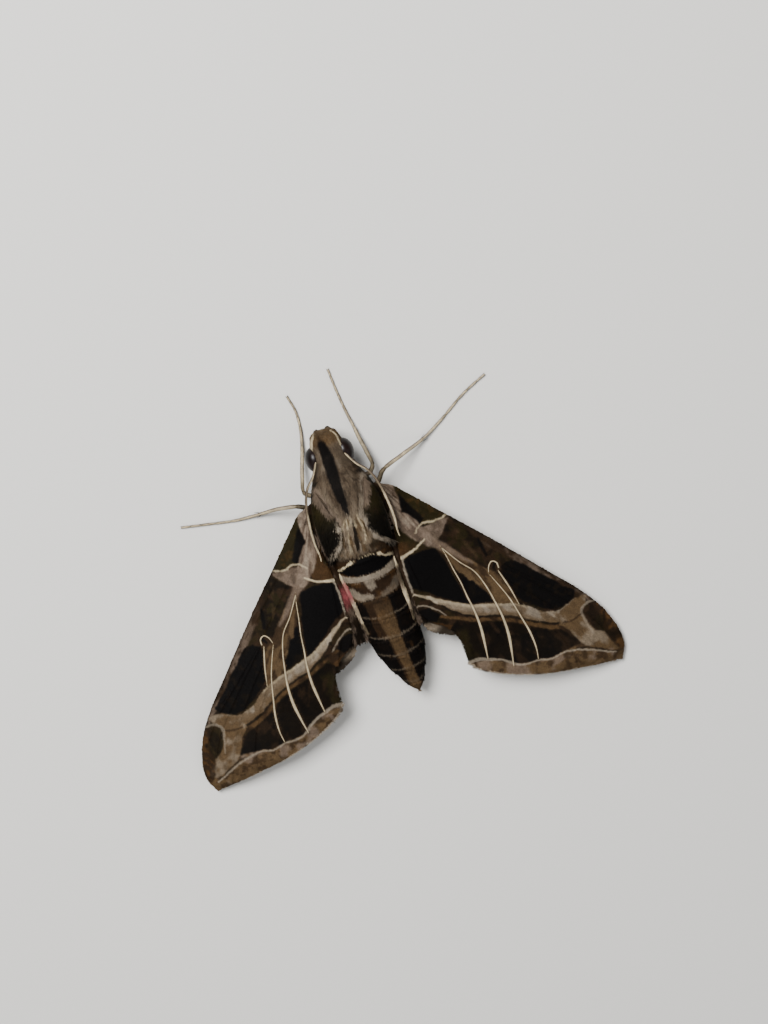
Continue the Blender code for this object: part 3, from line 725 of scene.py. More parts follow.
def scale_finish(name, roughness=0.75, gloss=0.06, grain_size=0.00011, bump=0.35, rich=1.0):
    """Scales: the colour of the markings times a broad and a fine noise, and a bump from the fine one."""
    made, shader_with, add, join = blank_finish(name)
    shader = shader_with(Roughness=roughness, Specular_IOR_Level=gloss)
    marks = add("Attribute")
    marks.attribute_name = "markings"
    place = add("TexCoord").outputs["Object"]
    broad = add("TexNoise", Scale=1 / BROAD_GRAIN, Detail=3.0)
    grain = add("TexNoise", Scale=1 / grain_size, Detail=2.0)
    span = {"From_Min": 0.25, "From_Max": 0.75}
    shade = add("MapRange", To_Min=1 - 0.22 * rich, To_Max=1 + 0.22 * rich, **span)
    speck = add("MapRange", To_Min=1 - 0.3 * rich, To_Max=1 + 0.25 * rich, **span)
    both = add("Math")
    both.operation = "MULTIPLY"
    tinted = add("VectorMath")
    tinted.operation = "SCALE"
    relief = add("Bump", Strength=bump, Distance=SCALE_RELIEF)
    join((place, broad.inputs["Vector"]), (place, grain.inputs["Vector"]),
         (broad.outputs["Fac"], shade.inputs["Value"]), (grain.outputs["Fac"], speck.inputs["Value"]),
         (shade.outputs["Result"], both.inputs[0]), (speck.outputs["Result"], both.inputs[1]),
         (marks.outputs["Color"], tinted.inputs[0]), (both.outputs["Value"], tinted.inputs["Scale"]),
         (tinted.outputs["Vector"], shader.inputs["Base Color"]),
         (grain.outputs["Fac"], relief.inputs["Height"]),
         (relief.outputs["Normal"], shader.inputs["Normal"]))
    return made


def eye_finish(colours):
    """Compound eye: dark red-brown with a soft gloss, and a bump of cells the size of its facets."""
    made, shader_with, add, join = blank_finish("eye_facets")
    shader = shader_with(Roughness=0.34, Specular_IOR_Level=0.18)
    place = add("TexCoord").outputs["Object"]
    cells = add("TexVoronoi", Scale=1 / FACET, Randomness=0.35)
    broad = add("TexNoise", Scale=1 / 0.0012)
    blend = add("ValToRGB")
    for stop, at, strength in zip(blend.color_ramp.elements, (0.3, 0.72), (0.45, 1.5)):
        stop.position = at
        stop.color = (*np.clip(colours.eye * strength, 0, 1), 1.0)
    relief = add("Bump", Strength=0.15, Distance=0.00001)
    relief.invert = True
    join((place, cells.inputs["Vector"]), (place, broad.inputs["Vector"]),
         (broad.outputs["Fac"], blend.inputs["Fac"]), (blend.outputs["Color"], shader.inputs["Base Color"]),
         (cells.outputs["Distance"], relief.inputs["Height"]),
         (relief.outputs["Normal"], shader.inputs["Normal"]))
    return made


# ================================================================ body, palps, eyes, shoulder flaps
def body_map(u, v):
    """A place on the unwrap of the body's skin."""
    return np.stack([v, (body_y(u) - SNOUT_Y) / (TAIL_Y - SNOUT_Y)], 1)


def body_blades(depth, spacing, reach, width, lift, curl, rng, c, start, end, spread, splay=0.0,
                thin=None, rows=240):
    """Blades over a length of the body, lying backwards, splayed by a share of their place round it.

    The reach is a table of distances back from the snout and lengths. A blade has the colour of the place
    that its outer half covers.
    """
    span = ((float(body_share(start)), float(body_share(end))), (0, 1))
    u, v = scatter(lambda a, b: body_surface(a, b, depth), rows, 160, spacing, rng, span, thin)
    roots, normal, along, across = surface_frame(lambda a, b: body_surface(a, b, depth), u, v)
    turn = 2 * math.pi * (v - 0.5)
    locks = 1.6 * splay * (clouds(roots * (1, 0.5, 1), 1.1, 77) - 0.5)
    sideways = (spread * rng.normal(size=len(u)) + splay * np.sin(turn) + locks)[:, None]
    lie = along + across * sideways
    size = np.interp(roots[:, 1], *np.array(reach).T) * rng.uniform(0.75, 1.2, len(u))
    paint = coat_shade(roots, body_colours(roots + unit(lie) * 0.55 * size[:, None], c), rng)
    grown = lift * rng.uniform(0.5, 1.5, len(u))
    made = blades(roots, normal, lie, size, width * rng.uniform(0.8, 1.2, len(u)), grown, curl)
    return (made, paint, body_map(u, v)), roots


def clear_of_eyes(places):
    """Spreads the scales out where the eyes cover the head."""
    gaps = [np.linalg.norm((places - EYE_CENTRE * (s, 1, 1)) / (EYE_RADII + 0.05), axis=1) for s in (1, -1)]
    return np.where(np.minimum(*gaps) < 0.98, 6.0, 1.0)


def palp_surface(side, grow=0.0):
    """A palp: an egg x = a sin t cos s, y = b sin t sin s, z = c cos t, leant forward about the x axis."""
    lean = math.radians(-18.0)

    def surface(u, v):
        t, s = math.pi * u, 2 * math.pi * v
        a, b, h = 0.76 + grow, 1.0 + grow, 1.6 + grow
        x, y, z = a * np.sin(t) * np.cos(s), b * np.sin(t) * np.sin(s), h * np.cos(t)
        back, up = y * math.cos(lean) - z * math.sin(lean), y * math.sin(lean) + z * math.cos(lean)
        turned = np.stack([x, back, up], -1)
        return turned + PALP_CENTRE * (side, 1, 1)

    return surface


def closed_grid(surface, rows, columns):
    """Vertices and faces of a surface closed round v, with its two ends shrunk to one vertex each."""
    u, v = np.linspace(0, 1, rows), np.arange(columns) / columns
    grid = surface(*(g.ravel() for g in np.meshgrid(u, v, indexing="ij"))).reshape(rows, columns, 3)
    inner = grid[1:-1].reshape(-1, 3)
    points = np.vstack([inner, grid[0].mean(0), grid[-1].mean(0)])
    ring = np.arange(columns)
    after = (ring + 1) % columns
    last = (rows - 3) * columns
    caps = np.vstack([
        np.stack([after, ring, np.full(columns, len(inner))], 1),
        np.stack([last + ring, last + after, np.full(columns, len(inner) + 1)], 1),
    ])
    return points, [outward(points, grid_faces(rows - 2, columns, True)), outward(points, caps)]


def outward(points, faces):
    """The same faces, turned over if most of them point towards the middle of the points."""
    a, b, c = (points[faces[:, k]] for k in (0, 1, 2))
    facing = (np.cross(b - a, c - a) * ((a + b + c) / 3 - points.mean(0))).sum()
    return faces if facing > 0 else faces[:, ::-1]


TEGULA_INNER = np.array(((6.1, 48.0), (7.9, 35.0), (9.4, 27.0), (11.1, 20.5), (13.7, 28.0), (16.2, 56.0)))
TEGULA_OUTER = 64.0


def tegula_surface(side, depth=0.0):
    """A shoulder flap: u runs backwards, v turns once round its lens-shaped section, its upper side first.

    The angle round the thorax goes from the inner to the outer edge and back with (1 - cos 2 pi v) / 2.
    The height over the thorax is the gap plus the thickness times (1 + sin 2 pi v) / 2, narrowed at both
    ends.
    """
    def surface(u, v):
        y = 6.1 + 10.1 * u
        narrow = np.sqrt(np.clip(1 - np.abs(2 * u - 1) ** 5, 0, 1))
        low = np.interp(y, *TEGULA_INNER.T)
        share = (1 - np.cos(2 * math.pi * v)) / 2
        turn = np.radians((low + TEGULA_OUTER) / 2 + (share - 0.5) * (TEGULA_OUTER - low) * narrow)
        thick = 0.5 + 0.2 * np.sin(math.pi * share) * np.sin(math.pi * u)
        around = np.sin(2 * math.pi * v) * narrow
        lift = 0.2 + thick * (0.5 + 0.5 * around) - depth * ease(around * 3)
        half_width, top, under = body_ring(y)
        half_height = (top - under) / 2
        out = unit(np.stack([np.sin(turn) / half_width, np.cos(turn) / half_height], -1))
        x = half_width * np.sin(turn) + out[..., 0] * lift
        z = (top + under) / 2 + half_height * np.cos(turn) + out[..., 1] * lift
        return np.stack([side * x, y, z], -1)

    return surface


def tegula_colours(points, c):
    """Olive in front and sooty behind, with an inner edge pale behind and rosy in front, and a rosy outer
    edge.
    """
    x, y, _ = np.asarray(points, float).T
    inner = np.interp(y, (6.1, 8.2, 10.2, 11.5, 12.8, 14.2, 16.2), (3.9, 3.2, 2.25, 2.0, 2.4, 3.3, 4.2))
    from_edge = np.abs(x) - inner + 0.25 * (clouds(points, 0.8, 3) - 0.5)
    paint = np.tile(c.olive, (len(x), 1))
    paint = lay(paint, c.soot, 0.85 * ease((y - 8.3 + 2.0 * (clouds(points, 1.5, 7) - 0.5)) / 3.5))
    paint = lay(paint, c.umber, 0.45 * ease((clouds(points, 0.9, 9) - 0.6) * 6))
    paint = lay(paint, c.bone, 0.9 * ease((0.34 - from_edge) / 0.2) * ease((y - 9.6) / 1.2))
    paint = lay(paint, c.rosy, 0.6 * ease((0.3 - from_edge) / 0.3) * ease((9.8 - y) / 1.0))
    return lay(paint, c.rosy, 0.5 * ease((np.abs(x) - 4.75) / 0.3) * ease((y - 7) / 1.0))


# ================================================================ wings
COSTA = ((5.35, 7.7), (6.9, 9.15), (8.6, 11.3), (11.9, 15.25), (18.1, 22.5), (25.1, 31.1), (28.6, 35.4),
         (31.1, 39.4), (32.5, 43.6), (32.6, 46.2), (31.75, 48.5))
INNER_MARGIN = ((5.6, 14.8), (5.2, 17.65), (4.85, 20.5), (4.8, 23.5), (4.85, 26.6), (4.95, 29.4),
    (6.0, 31.4),
                (7.9, 32.9), (9.0, 34.5), (9.4, 36.7), (9.5, 39.8))
TERMEN = ((9.5, 39.8), (10.5, 41.05), (14.25, 43.4), (20.3, 45.7), (27.2, 47.4), (31.75, 48.5))
CHORD_AT = ((0.0, 0.0), (0.15, 0.10), (0.60, 0.74), (1.0, 1.0))
TORNUS_AT = 0.60
COSTA_HEIGHT = ((0.0, 6.7), (0.1, 5.2), (0.3, 4.0), (0.6, 2.4), (0.8, 1.6), (1.0, 1.1))
TRAILING_HEIGHT = ((0.0, 7.2), (0.2, 7.0), (0.4, 6.0), (0.6, 5.1), (0.8, 4.2), (0.93, 2.6), (1.0, 1.1))
WING_CAMBER = 0.8
HINDWING_DROP = 1.15
HIND_COSTA = ((5.4, 15.6), (9.5, 18.2), (15.0, 23.0), (20.5, 29.0), (24.0, 34.5))
HIND_TRAILING = ((5.3, 18.6), (4.9, 22.0), (4.75, 26.0), (4.8, 30.0), (5.5, 33.0), (9.0, 35.2),
    (14.0, 37.6),
                 (19.5, 38.0), (24.0, 34.5))

# Veins that carry pale scales, from the wing root outwards
PALE_VEINS = {  # the hook at the end of the cell has scales but no vein
    "inner": ((10.9, 20.4), (11.3, 22.0), (11.75, 24.7), (12.2, 27.0), (12.5, 29.6), (12.8, 31.5),
        (13.0, 34.7), (12.85, 37.4), (12.6, 40.2)),
    "middle": ((11.0, 20.8), (12.9, 24.0), (14.6, 26.3), (15.6, 29.2), (16.05, 31.4), (16.5, 34.2),
        (16.6, 37.4), (16.3, 40.1), (15.9, 42.7)),
    "outer": ((16.4, 27.3), (17.2, 29.2), (18.3, 32.2), (19.2, 36.0), (19.7, 38.4), (19.9, 41.0),
        (19.7, 43.0)),
    "discal": ((17.9, 27.5), (18.4, 29.2), (18.85, 30.9), (19.15, 32.4), (19.4, 33.7)),
}
PALE_LINES = {
    "inner": (PALE_VEINS["inner"], (0.08, 0.15, 0.19, 0.28, 0.42, 0.12)),
    "middle": (PALE_VEINS["middle"], (0.14, 0.17, 0.18, 0.28, 0.45, 0.12)),
    "outer": (PALE_VEINS["outer"], (0.1, 0.17, 0.2, 0.3, 0.1)),
    "discal": (PALE_VEINS["discal"], (0.16, 0.24, 0.2, 0.1)),
    "hook": (((18.15, 27.3), (18.05, 26.4), (17.45, 25.95), (16.85, 26.4), (16.5, 27.3)),
        (0.2, 0.2, 0.18, 0.16, 0.08)),
}
BARE_VEINS = (
    ((6.0, 9.5), (9.5, 13.8), (14.5, 19.6), (21.0, 27.5)), ((5.9, 11.0), (8.3, 14.5), (12.0, 19.2),
        (17.8, 26.0)),
    ((15.0, 22.5), (21.0, 29.5), (26.5, 34.5)), ((17.9, 26.4), (22.5, 31.0), (28.0, 36.6), (30.9, 40.5)),
    ((18.2, 27.0), (23.0, 32.5), (28.5, 39.5), (31.7, 46.0)), ((18.6, 29.5), (22.2, 34.0), (26.5, 40.5),
        (29.3, 47.4)),
    ((19.4, 33.5), (22.2, 38.0), (24.4, 43.0), (24.9, 46.6)), ((5.3, 17.0), (6.0, 23.0), (6.6, 28.0),
        (8.3, 32.4), (10.4, 37.0), (10.5, 40.6)),
)
_costa, _inner, _outer = smooth_line(COSTA, 201), smooth_line(INNER_MARGIN, 121), smooth_line(TERMEN, 81)
_trailing = np.vstack([_inner, _outer[1:]])
_trailing_at = np.concatenate([np.linspace(0, TORNUS_AT, 121), np.linspace(TORNUS_AT, 1, 81)[1:]])


def wing_plan(u, v, inset=0.0):
    """The forewing's upper side: at each u a chord, with v along it from the leading to the rear edge.

    The chord's ends come from the two edge curves and their heights. Between them the wing bulges by the
    camber times sin(pi v). The inset draws the rear end of each chord in.
    """
    share = np.interp(u, *zip(*CHORD_AT))
    at = np.linspace(0, 1, 201)
    near = [np.interp(share, at, column) for column in _costa.T] + [np.interp(share, *zip(*COSTA_HEIGHT))]
    far = [np.interp(u, _trailing_at, column) for column in _trailing.T] + [np.interp(u,
        *zip(*TRAILING_HEIGHT))]
    near, far = np.stack(near, -1), np.stack(far, -1)
    width = np.linalg.norm(near - far, axis=-1)
    v = v * (1 - np.minimum(0.3, inset / np.maximum(width, 0.01)))
    point = near * (1 - v)[..., None] + far * v[..., None]
    point[..., 2] += WING_CAMBER * np.sin(math.pi * v) * np.minimum(1, width / 12)
    return point


def vein_relief(plan, height):
    """How far the veins stand out: a bell curve of the distance from each vein."""
    relief = np.zeros(len(plan))
    for vein in (*PALE_VEINS.values(), *BARE_VEINS):
        gap = beside(plan, smooth_line(vein, 24))[0]
        relief = np.maximum(relief, np.exp(-((gap / 0.2) ** 2)))
    return height * relief


def forewing_surface(side, sizes, layer):
    """One side of the forewing's skin: layer 1 is the upper side and 0 the underside.

    The veins stand out of both by their relief, and the root slides inwards under the flap.
    """
    def surface(u, v):
        point = wing_plan(u, v, 0.45)
        shape = point.shape
        flat = point.reshape(-1, 3)
        relief = vein_relief(flat[:, :2], sizes.vein_height)
        flat[:, 2] += relief - 0.16 - (0 if layer else sizes.wing_skin)
        flat[:, 0] -= 1.1 * ease((15.5 - flat[:, 1]) / 5) * ease((7.5 - flat[:, 0]) / 2)
        return (flat * (side, 1, 1)).reshape(shape)

    return surface


def closed_wing(upper, lower):
    """A closed thin skin: v runs over the upper side and back under it; the two sides meet at the edges."""
    def surface(u, v):
        share = (1 - np.cos(2 * math.pi * v)) / 2
        blend = (0.5 + 0.5 * np.clip(np.sin(2 * math.pi * v) * 8, -1, 1))[..., None]
        return upper(u, share) * blend + lower(u, share) * (1 - blend)

    return surface


BAND_TOP = ((4.6, 25.6), (5.8, 26.35), (7.2, 27.3), (8.5, 28.25), (10.4, 29.5), (12.2, 30.6), (14.0, 31.4),
    (15.8, 32.0), (17.2, 32.6), (19.0, 33.4), (20.4, 34.4), (21.7, 35.6), (23.1, 36.6), (24.9, 37.1),
    (27.5, 36.3), (29.0, 37.0))
BAND_LOW = ((26.0, 39.3), (25.0, 39.1), (22.0, 37.9), (19.0, 35.8), (16.3, 34.2), (12.5, 32.8), (9.9, 31.0),
    (8.5, 29.4), (7.5, 28.2), (6.2, 27.0), (4.8, 25.9))
MARGIN_LINE = ((9.4, 39.75), (11.0, 39.6), (12.6, 40.2), (14.5, 41.0), (16.4, 42.55), (18.1, 43.1),
    (19.7, 43.1), (21.7, 43.7), (23.5, 43.35), (26.3, 44.0), (28.6, 45.2), (31.2, 46.9))
# Marks as in the body's tables, for the left wing seen from above
FOREWING_MARKS = (
    ("olive", 0.7, (("cloud", 0.4, 0.25),)),
    ("bark", 0.7, (("fleck", 0.5, 0.2),)),
    # root
    ("olive", 1.0, (), ((5.0, 7.0), (7.2, 9.0), (9.4, 11.8), (13.2, 16.2), (13.4, 16.8), (11.3, 16.8),
        (9.2, 16.0), (7.4, 11.5)), (), 0.3),
    ("clay", 0.3, (("fleck", 0.5, 0.2), "root")),
    ("soot", 0.95, (), ((7.6, 11.0), (8.6, 13.0), (10.0, 15.9), (9.2, 16.5), (8.5, 15.7), (7.3, 14.0),
        (7.2, 12.0)), (), 0.3),
    ((("clay", "umber", 0.5), "olive", 1.0, ("cloud", 0.35, 0.25)), 0.9, (),
        ((6.3, 14.6), (4.6, 13.6), (4.4, 19.9), (6.5, 19.8), (7.9, 19.0), (8.1, 17.6), (7.0, 16.0)), (),
        0.3),
    ((("rosy", "bone", 0.5, ("across", 0.5, 0.2)), "umber", 1.0, "root_shade"), 0.92, (),
        ((5.6, 7.6), (6.5, 9.5), (6.6, 12.0), (6.3, 13.8), (7.2, 15.2), (8.0, 16.6), (8.6, 17.6),
        (9.6, 19.2)), (1.1, 1.3, 1.3, 1.7, 2.1, 2.3, 2.0, 1.5), 0.25),
    # leading edge between the root and the dark patch
    ("bark", 0.9, (("cloud", 0.36, 0.2),), ((13.6, 17.4), (14.6, 18.0), (17.0, 21.2), (16.9, 24.4),
        (17.1, 26.2), (16.2, 26.6), (14.7, 24.5), (12.9, 22.4), (10.9, 19.9), (11.8, 19.1)), (), 0.3),
    ("olive", 0.8, (("fleck", 0.42, 0.2),), ((13.3, 17.6), (14.6, 18.6), (16.0, 21.8), (16.5, 26.0),
        (14.0, 23.4), (12.2, 20.4)), (), 0.6),
    ("tan", 0.3, (("across", 0.4, 0.2),), ((13.8, 18.6), (14.3, 21.0), (15.6, 24.4)), (0.4, 0.5, 0.4), 0.4),
    (("umber", "rosy", 0.6, ("across", 0.38, 0.25), ("x", 16, 5)), 0.9, (),
        ((15.9, 20.0), (18.0, 22.7), (20.0, 25.2), (22.5, 28.2), (25.3, 31.7), (28.2, 35.3), (29.8, 37.2)),
        (0.8, 1.9, 1.8, 1.4, 1.2, 1.1, 0.9), 0.3),
    ("rosy", 0.8, ("worn",), ((13.4, 17.1), (12.6, 18.0), (11.7, 19.1), (10.8, 19.8), (9.7, 19.3),
        (9.0, 18.4), (8.3, 17.5), (9.2, 16.8), (11.3, 17.1)), (), 0.2),
    ("cream", 0.6, (), ((13.7, 16.5), (12.5, 16.9), (11.3, 16.95), (9.9, 16.4), (9.0, 16.5), (8.2, 17.2)),
        (0.34, 0.22, 0.24, 0.24, 0.2, 0.16), 0.12),
    ("cream", 0.85, (), ((9.0, 18.6), (7.7, 19.45), (6.3, 19.8), (4.6, 20.05)), (0.24, 0.28, 0.36, 0.46),
        0.12),
    ("bark", 0.55, (), COSTA[3:], (0.5, 0.45, 0.5, 0.5), 0.3),
    # stripe of the cell and the dark patches beside it
    (("tan", "umber", 0.85, ("across", 0.42, 0.2)), 0.97, (),
        ((10.0, 19.3), (10.9, 19.6), (12.9, 22.2), (14.6, 24.3), (16.2, 26.5), (17.6, 27.8), (18.4, 29.4),
        (19.0, 31.6), (19.4, 33.8), (16.4, 34.2), (15.9, 31.4), (15.4, 30.2), (14.7, 28.9), (14.1, 27.6),
        (13.5, 27.3), (12.9, 25.9), (12.4, 25.7), (11.9, 24.2), (11.4, 22.4), (10.0, 20.4)), (), 0.18),
    ("rosy", 0.6, (), ((9.9, 19.4), (11.0, 20.6), (12.9, 22.9), (14.7, 25.0)), (1.4, 1.0, 0.7, 0.3), 0.5),
    ("soot", 1.0, (), ((10.1, 20.6), (8.5, 20.1), (6.5, 20.15), (4.5, 20.4), (4.5, 24.6), (5.3, 25.2),
        (7.2, 26.6), (8.3, 27.7), (10.4, 29.3), (12.5, 30.7), (12.0, 27.9), (11.5, 25.5), (11.0, 23.2),
        (10.6, 21.6)), (), 0.15),
    (("soot", "bark", 1.0, ("cloud", 0.45, 0.25)), 1.0, (),
        ((15.3, 30.0), (14.6, 28.8), (14.0, 27.5), (13.4, 27.2), (12.8, 25.8), (12.3, 25.6), (11.8, 24.0),
        (12.0, 27.1), (12.7, 30.7), (15.9, 31.8), (15.7, 30.4)), (), 0.15),
    (("soot", "bark", 0.8, ("fleck", 0.55, 1 / 6)), 0.98, (),
        ((19.4, 26.9), (18.5, 27.3), (18.3, 28.3), (18.9, 30.4), (19.3, 32.6), (20.4, 33.9), (21.7, 35.1),
        (23.6, 36.5), (25.4, 36.8), (27.4, 36.2), (28.0, 35.3), (26.3, 33.6), (24.2, 31.1), (22.4, 29.0),
        (20.8, 27.2)), (), 0.2),
    ("soot", 0.9, (), ((16.5, 22.0), (16.75, 23.2), (17.0, 24.8)), (0.35, 0.6, 0.4), 0.2),
    # wide band
    (("bone", "tan", 1.0, "outwards", ("across", 0.26, 0.25)), 1.0, (), BAND_TOP + BAND_LOW, (), 0.15),
    ("cream", 0.3, ("band",), BAND_TOP[:11], (1.3, 1.1, 1.0, 0.7, 0.3), 0.5),
    ("umber", 0.4, (("across", 0.42, -1 / 6), ("x", 9, 8)), BAND_LOW + BAND_TOP, (), 0.4),
    ("tan", 0.7, ("below_top",), BAND_LOW + BAND_TOP, (), 0.2),
    (("umber", ("clay", "tan", 0.5), 0.9, ("across", 0.3, 1 / 3)), 0.95, (),
        ((7.9, 31.0), (9.9, 32.05), (12.5, 33.35), (16.3, 34.8), (19.0, 36.45), (22.0, 38.5),
        (25.0, 39.75)), (0.45, 0.5, 0.55, 0.65), 0.2),
    ("bark", 0.9, (), BAND_LOW[1:8], (0.25, 0.28, 0.25), 0.12),
    ("soot", 0.95, (), ((4.5, 28.7), (6.7, 29.1), (7.9, 30.6), (7.0, 31.7), (5.1, 30.5), (4.5, 29.8)), (),
        0.2),
    ("bone", 0.6, (), ((4.6, 27.9), (6.2, 28.5), (7.7, 29.8), (8.6, 31.0)), (0.2, 0.25, 0.15), 0.12),
    (("clay", "umber", 0.5), 0.8, (), ((4.8, 30.9), (6.2, 31.8), (7.8, 32.6), (9.2, 33.4)), (0.6, 0.8, 0.7),
        0.3),
    # outer wing
    ((("tan", "umber", 0.7, ("fleck", 0.42, 0.25)), "rosy", 0.6, ("cloud", 0.5, 0.2)), 1.0,
        (("past_margin", 0.0, 0.3),)),
    (("tan", "bone", 0.35, ("across", 0.45, 0.25)), 0.95, (),
        ((24.2, 39.2), (25.4, 40.6), (26.5, 43.0), (28.1, 44.6), (31.3, 46.2), (32.2, 45.6), (30.4, 42.9),
        (29.0, 42.0), (28.1, 40.1), (27.8, 38.3), (29.0, 37.4), (29.4, 36.6), (27.6, 36.3), (26.3, 36.9),
        (24.9, 37.2)), (), 0.25),
    (((("bark", "soot", 0.6, ("cloud", 0.45, 0.25)), "olive", 0.75, "green_edge"), "umber", 0.6,
        ("across", 0.52, 0.2)), 1.0, (), ((9.0, 33.2), (9.9, 32.5), (12.5, 33.75), (16.3, 35.2),
        (19.0, 36.9), (22.0, 38.95), (24.3, 40.0), (25.4, 41.2), (26.5, 43.0), (25.0, 43.1), (23.5, 43.15),
        (21.7, 43.5), (19.7, 43.0), (18.1, 42.9), (16.3, 42.4), (14.45, 40.8), (12.6, 40.1), (11.0, 39.6),
        (9.2, 39.7), (8.9, 36.7), (8.5, 34.6)), (), 0.2),
    ("umber", 0.7, (), ((24.9, 39.1), (26.4, 39.2), (27.9, 38.9)), (0.25, 0.35, 0.2), 0.12),
    # wing tip
    ((("umber", "clay", 0.8, ("fleck", 0.45, 0.2)), "bark", 0.8, ("cloud", 0.5, 0.2)), 0.9, (),
        ((29.3, 36.4), (31.4, 39.2), (33.2, 43.4), (33.3, 46.6), (32.2, 46.9), (31.3, 45.6), (30.4, 43.2),
        (30.8, 40.8), (30.0, 38.2)), (), 0.4),
    ("bark", 0.6, (), ((29.9, 38.2), (28.6, 39.2), (28.9, 41.4), (29.7, 42.4), (30.5, 40.8)), (), 0.5),
    ("bone", 0.4, (), ((30.2, 37.9), (29.0, 37.7), (27.95, 38.4), (28.1, 40.2), (28.7, 42.4)),
        (0.25, 0.4, 0.4, 0.3, 0.2), 0.12),
    ("bark", 0.7, (), ((24.8, 43.6), (27.0, 43.9), (29.0, 45.2), (31.4, 46.9)), (0.2, 0.3, 0.35, 0.2), 0.2),
    ("bone", 0.6, (), MARGIN_LINE, (0.6, 0.42, 0.32, 0.26, 0.24, 0.32, 0.22), 0.12),
    ("bone", 0.85, (), ((9.0, 34.4), (9.35, 36.7), (9.4, 39.6)), (0.3, 0.6, 0.6), 0.2),
    ("bone", 0.75, (), ((5.3, 19.9), (5.05, 21.4), (5.0, 23.5), (5.1, 25.9)), (0.3, 0.26, 0.24, 0.3), 0.12),
)


def forewing_colours(points, c):
    """Colour of the forewing's upper scales: the marks of the left wing, and the same mirrored on the right.

    Two noises bend the outlines of the marks. A third, drawn out along rays from the root, streaks them.
    """
    flat = np.asarray(points, float)[:, :2]
    wobble = np.stack([clouds(flat, 1.3, 5), clouds(flat, 1.3, 6)], 1) - 0.5
    ragged = np.stack([noise(flat, 0.33, 7), noise(flat, 0.33, 8)], 1) - 0.5
    straight = folded(points)
    p = straight + 0.32 * wobble + 0.12 * ragged
    x, y = p.T
    cloud, fleck = clouds(flat, 1.7, 15), clouds(flat, 0.7, 25)
    from_root = straight - WING_ROOT
    fan = np.stack([22 * np.arctan2(from_root[:, 0], from_root[:, 1]), 0.3 * np.hypot(*from_root.T)], 1)
    across = clouds(fan + np.where(flat[:, :1] < 0, 60, 0), 0.6, 35)
    rays = 0.55 * ease((0.48 - across) * 6)
    margin = np.interp(x, (9.3, 12.6, 16.3, 20, 26.5, 29, 32.5), (39.6, 40.1, 42.3, 43.0, 43.0, 44.7, 46.0))
    fields = {
        "x": x, "cloud": cloud, "fleck": fleck, "across": across, "root": (y < 16.6) * (x > 7),
        "root_shade": rays + 0.4 * ease((13.5 - y) / 2.5) * ease((fleck - 0.4) * 5),
        "worn": 0.55 + 0.45 * ease((fleck - 0.4) * 4), "outwards": 0.6 + 0.3 * ease((x - 12) / 10),
        "band": patch(p, BAND_TOP + BAND_LOW, 0.15), "past_margin": y - margin,
        "below_top": 1 - stripe(p, BAND_TOP[:14], (1.2, 2.2, 2.5, 2.2, 1.9), 0.6),
        "green_edge": ease((11.9 - x) / 1.5 + (cloud - 0.5) * 3) * ease((y - 33.5) / 1.5),
    }
    paint = draw(np.tile(c.umber, (len(x), 1)), p, c, fields, FOREWING_MARKS)
    for line, widths in PALE_LINES.values():
        paint = lay(paint, c.tan, 0.6 * stripe(straight, line, np.array(widths) + 0.05, 0.15, 60))
    return lay(paint, c.soot, 0.9 * stripe(p, ((17.75, 26.4), (17.4, 27.0)), (0.55, 0.4), 0.15))


def folded(points):
    """Places in plan with the right side mirrored to the left."""
    flat = np.asarray(points, float)[:, :2]
    return np.stack([np.abs(flat[:, 0]), flat[:, 1]], 1)


def underside_colours(points, c):
    """Colour of a wing's underside: clay at the root, umber outwards, two wavy dark lines, a grey margin."""
    out = np.linalg.norm(folded(points) - (4.0, 8.0), axis=1) + 0.8 * (clouds(points, 1.6, 5) - 0.5)
    paint = np.tile(c.clay, (len(out), 1))
    paint = lay(paint, c.umber, 0.7 * ease((out - 14) / 10))
    paint = lay(paint, c.tan, 0.5 * ease((clouds(points, 0.9, 9) - 0.45) * 4))
    for at in (21.0, 27.0, 29.0):
        paint = lay(paint, c.bark, 0.55 * ease((0.45 - np.abs(out - at)) / 0.3))
    return lay(paint, c.rosy, 0.7 * ease((out - 33.5) / 2.5))


def hindwing_colours(points, c):
    """Colour of the hindwing's upper side: buff, a sooty middle band, a dark margin, a rosy inner corner."""
    flat = folded(points)
    out = np.linalg.norm(flat - HINDWING_ROOT, axis=1) + 0.6 * (clouds(points, 1.4, 5) - 0.5)
    paint = np.tile(c.grey, (len(out), 1))
    paint = lay(paint, c.bone, 0.6 * ease((clouds(points, 1.0, 9) - 0.4) * 4))
    paint = lay(paint, c.soot, 0.85 * ease((1.6 - np.abs(out - 12.5)) / 0.8) * ease((flat[:, 0] - 6.5) / 2))
    paint = lay(paint, c.bark, 0.8 * ease((out - 18.5) / 1.5))
    return lay(paint, c.pink, 0.45 * ease((7.5 - flat[:, 0]) / 2) * ease((30 - flat[:, 1]) / 4))


def height_over(grid, plan, count, soft):
    """A grid's height over places in plan: the mean of the nearest points, weighed 1 / (distance + soft)."""
    apart = np.linalg.norm(plan[:, None] - grid[None, :, :2], axis=-1)
    nearest = np.argpartition(apart, count, axis=1)[:, :count]
    weight = 1 / (np.take_along_axis(apart, nearest, 1) + soft)
    return (grid[nearest, 2] * weight).sum(1) / weight.sum(1)


_fore_grid = np.meshgrid(np.linspace(0, 1, 61), np.linspace(0, 1, 31), indexing="ij")
_fore_grid = wing_plan(*_fore_grid).reshape(-1, 3)


def hindwing_table(rows=41, columns=25):
    """The hindwing's upper side on a grid: chords between its two edges, a fixed drop under the forewing."""
    costa, trailing = smooth_line(HIND_COSTA, rows), smooth_line(HIND_TRAILING, rows)
    t = np.linspace(0, 1, columns)[None, :, None]
    plan = costa[:, None] * (1 - t) + trailing[:, None] * t
    z = height_over(_fore_grid, plan.reshape(-1, 2), 6, 0.05) - HINDWING_DROP
    return np.concatenate([plan, z.reshape(rows, columns, 1)], -1)


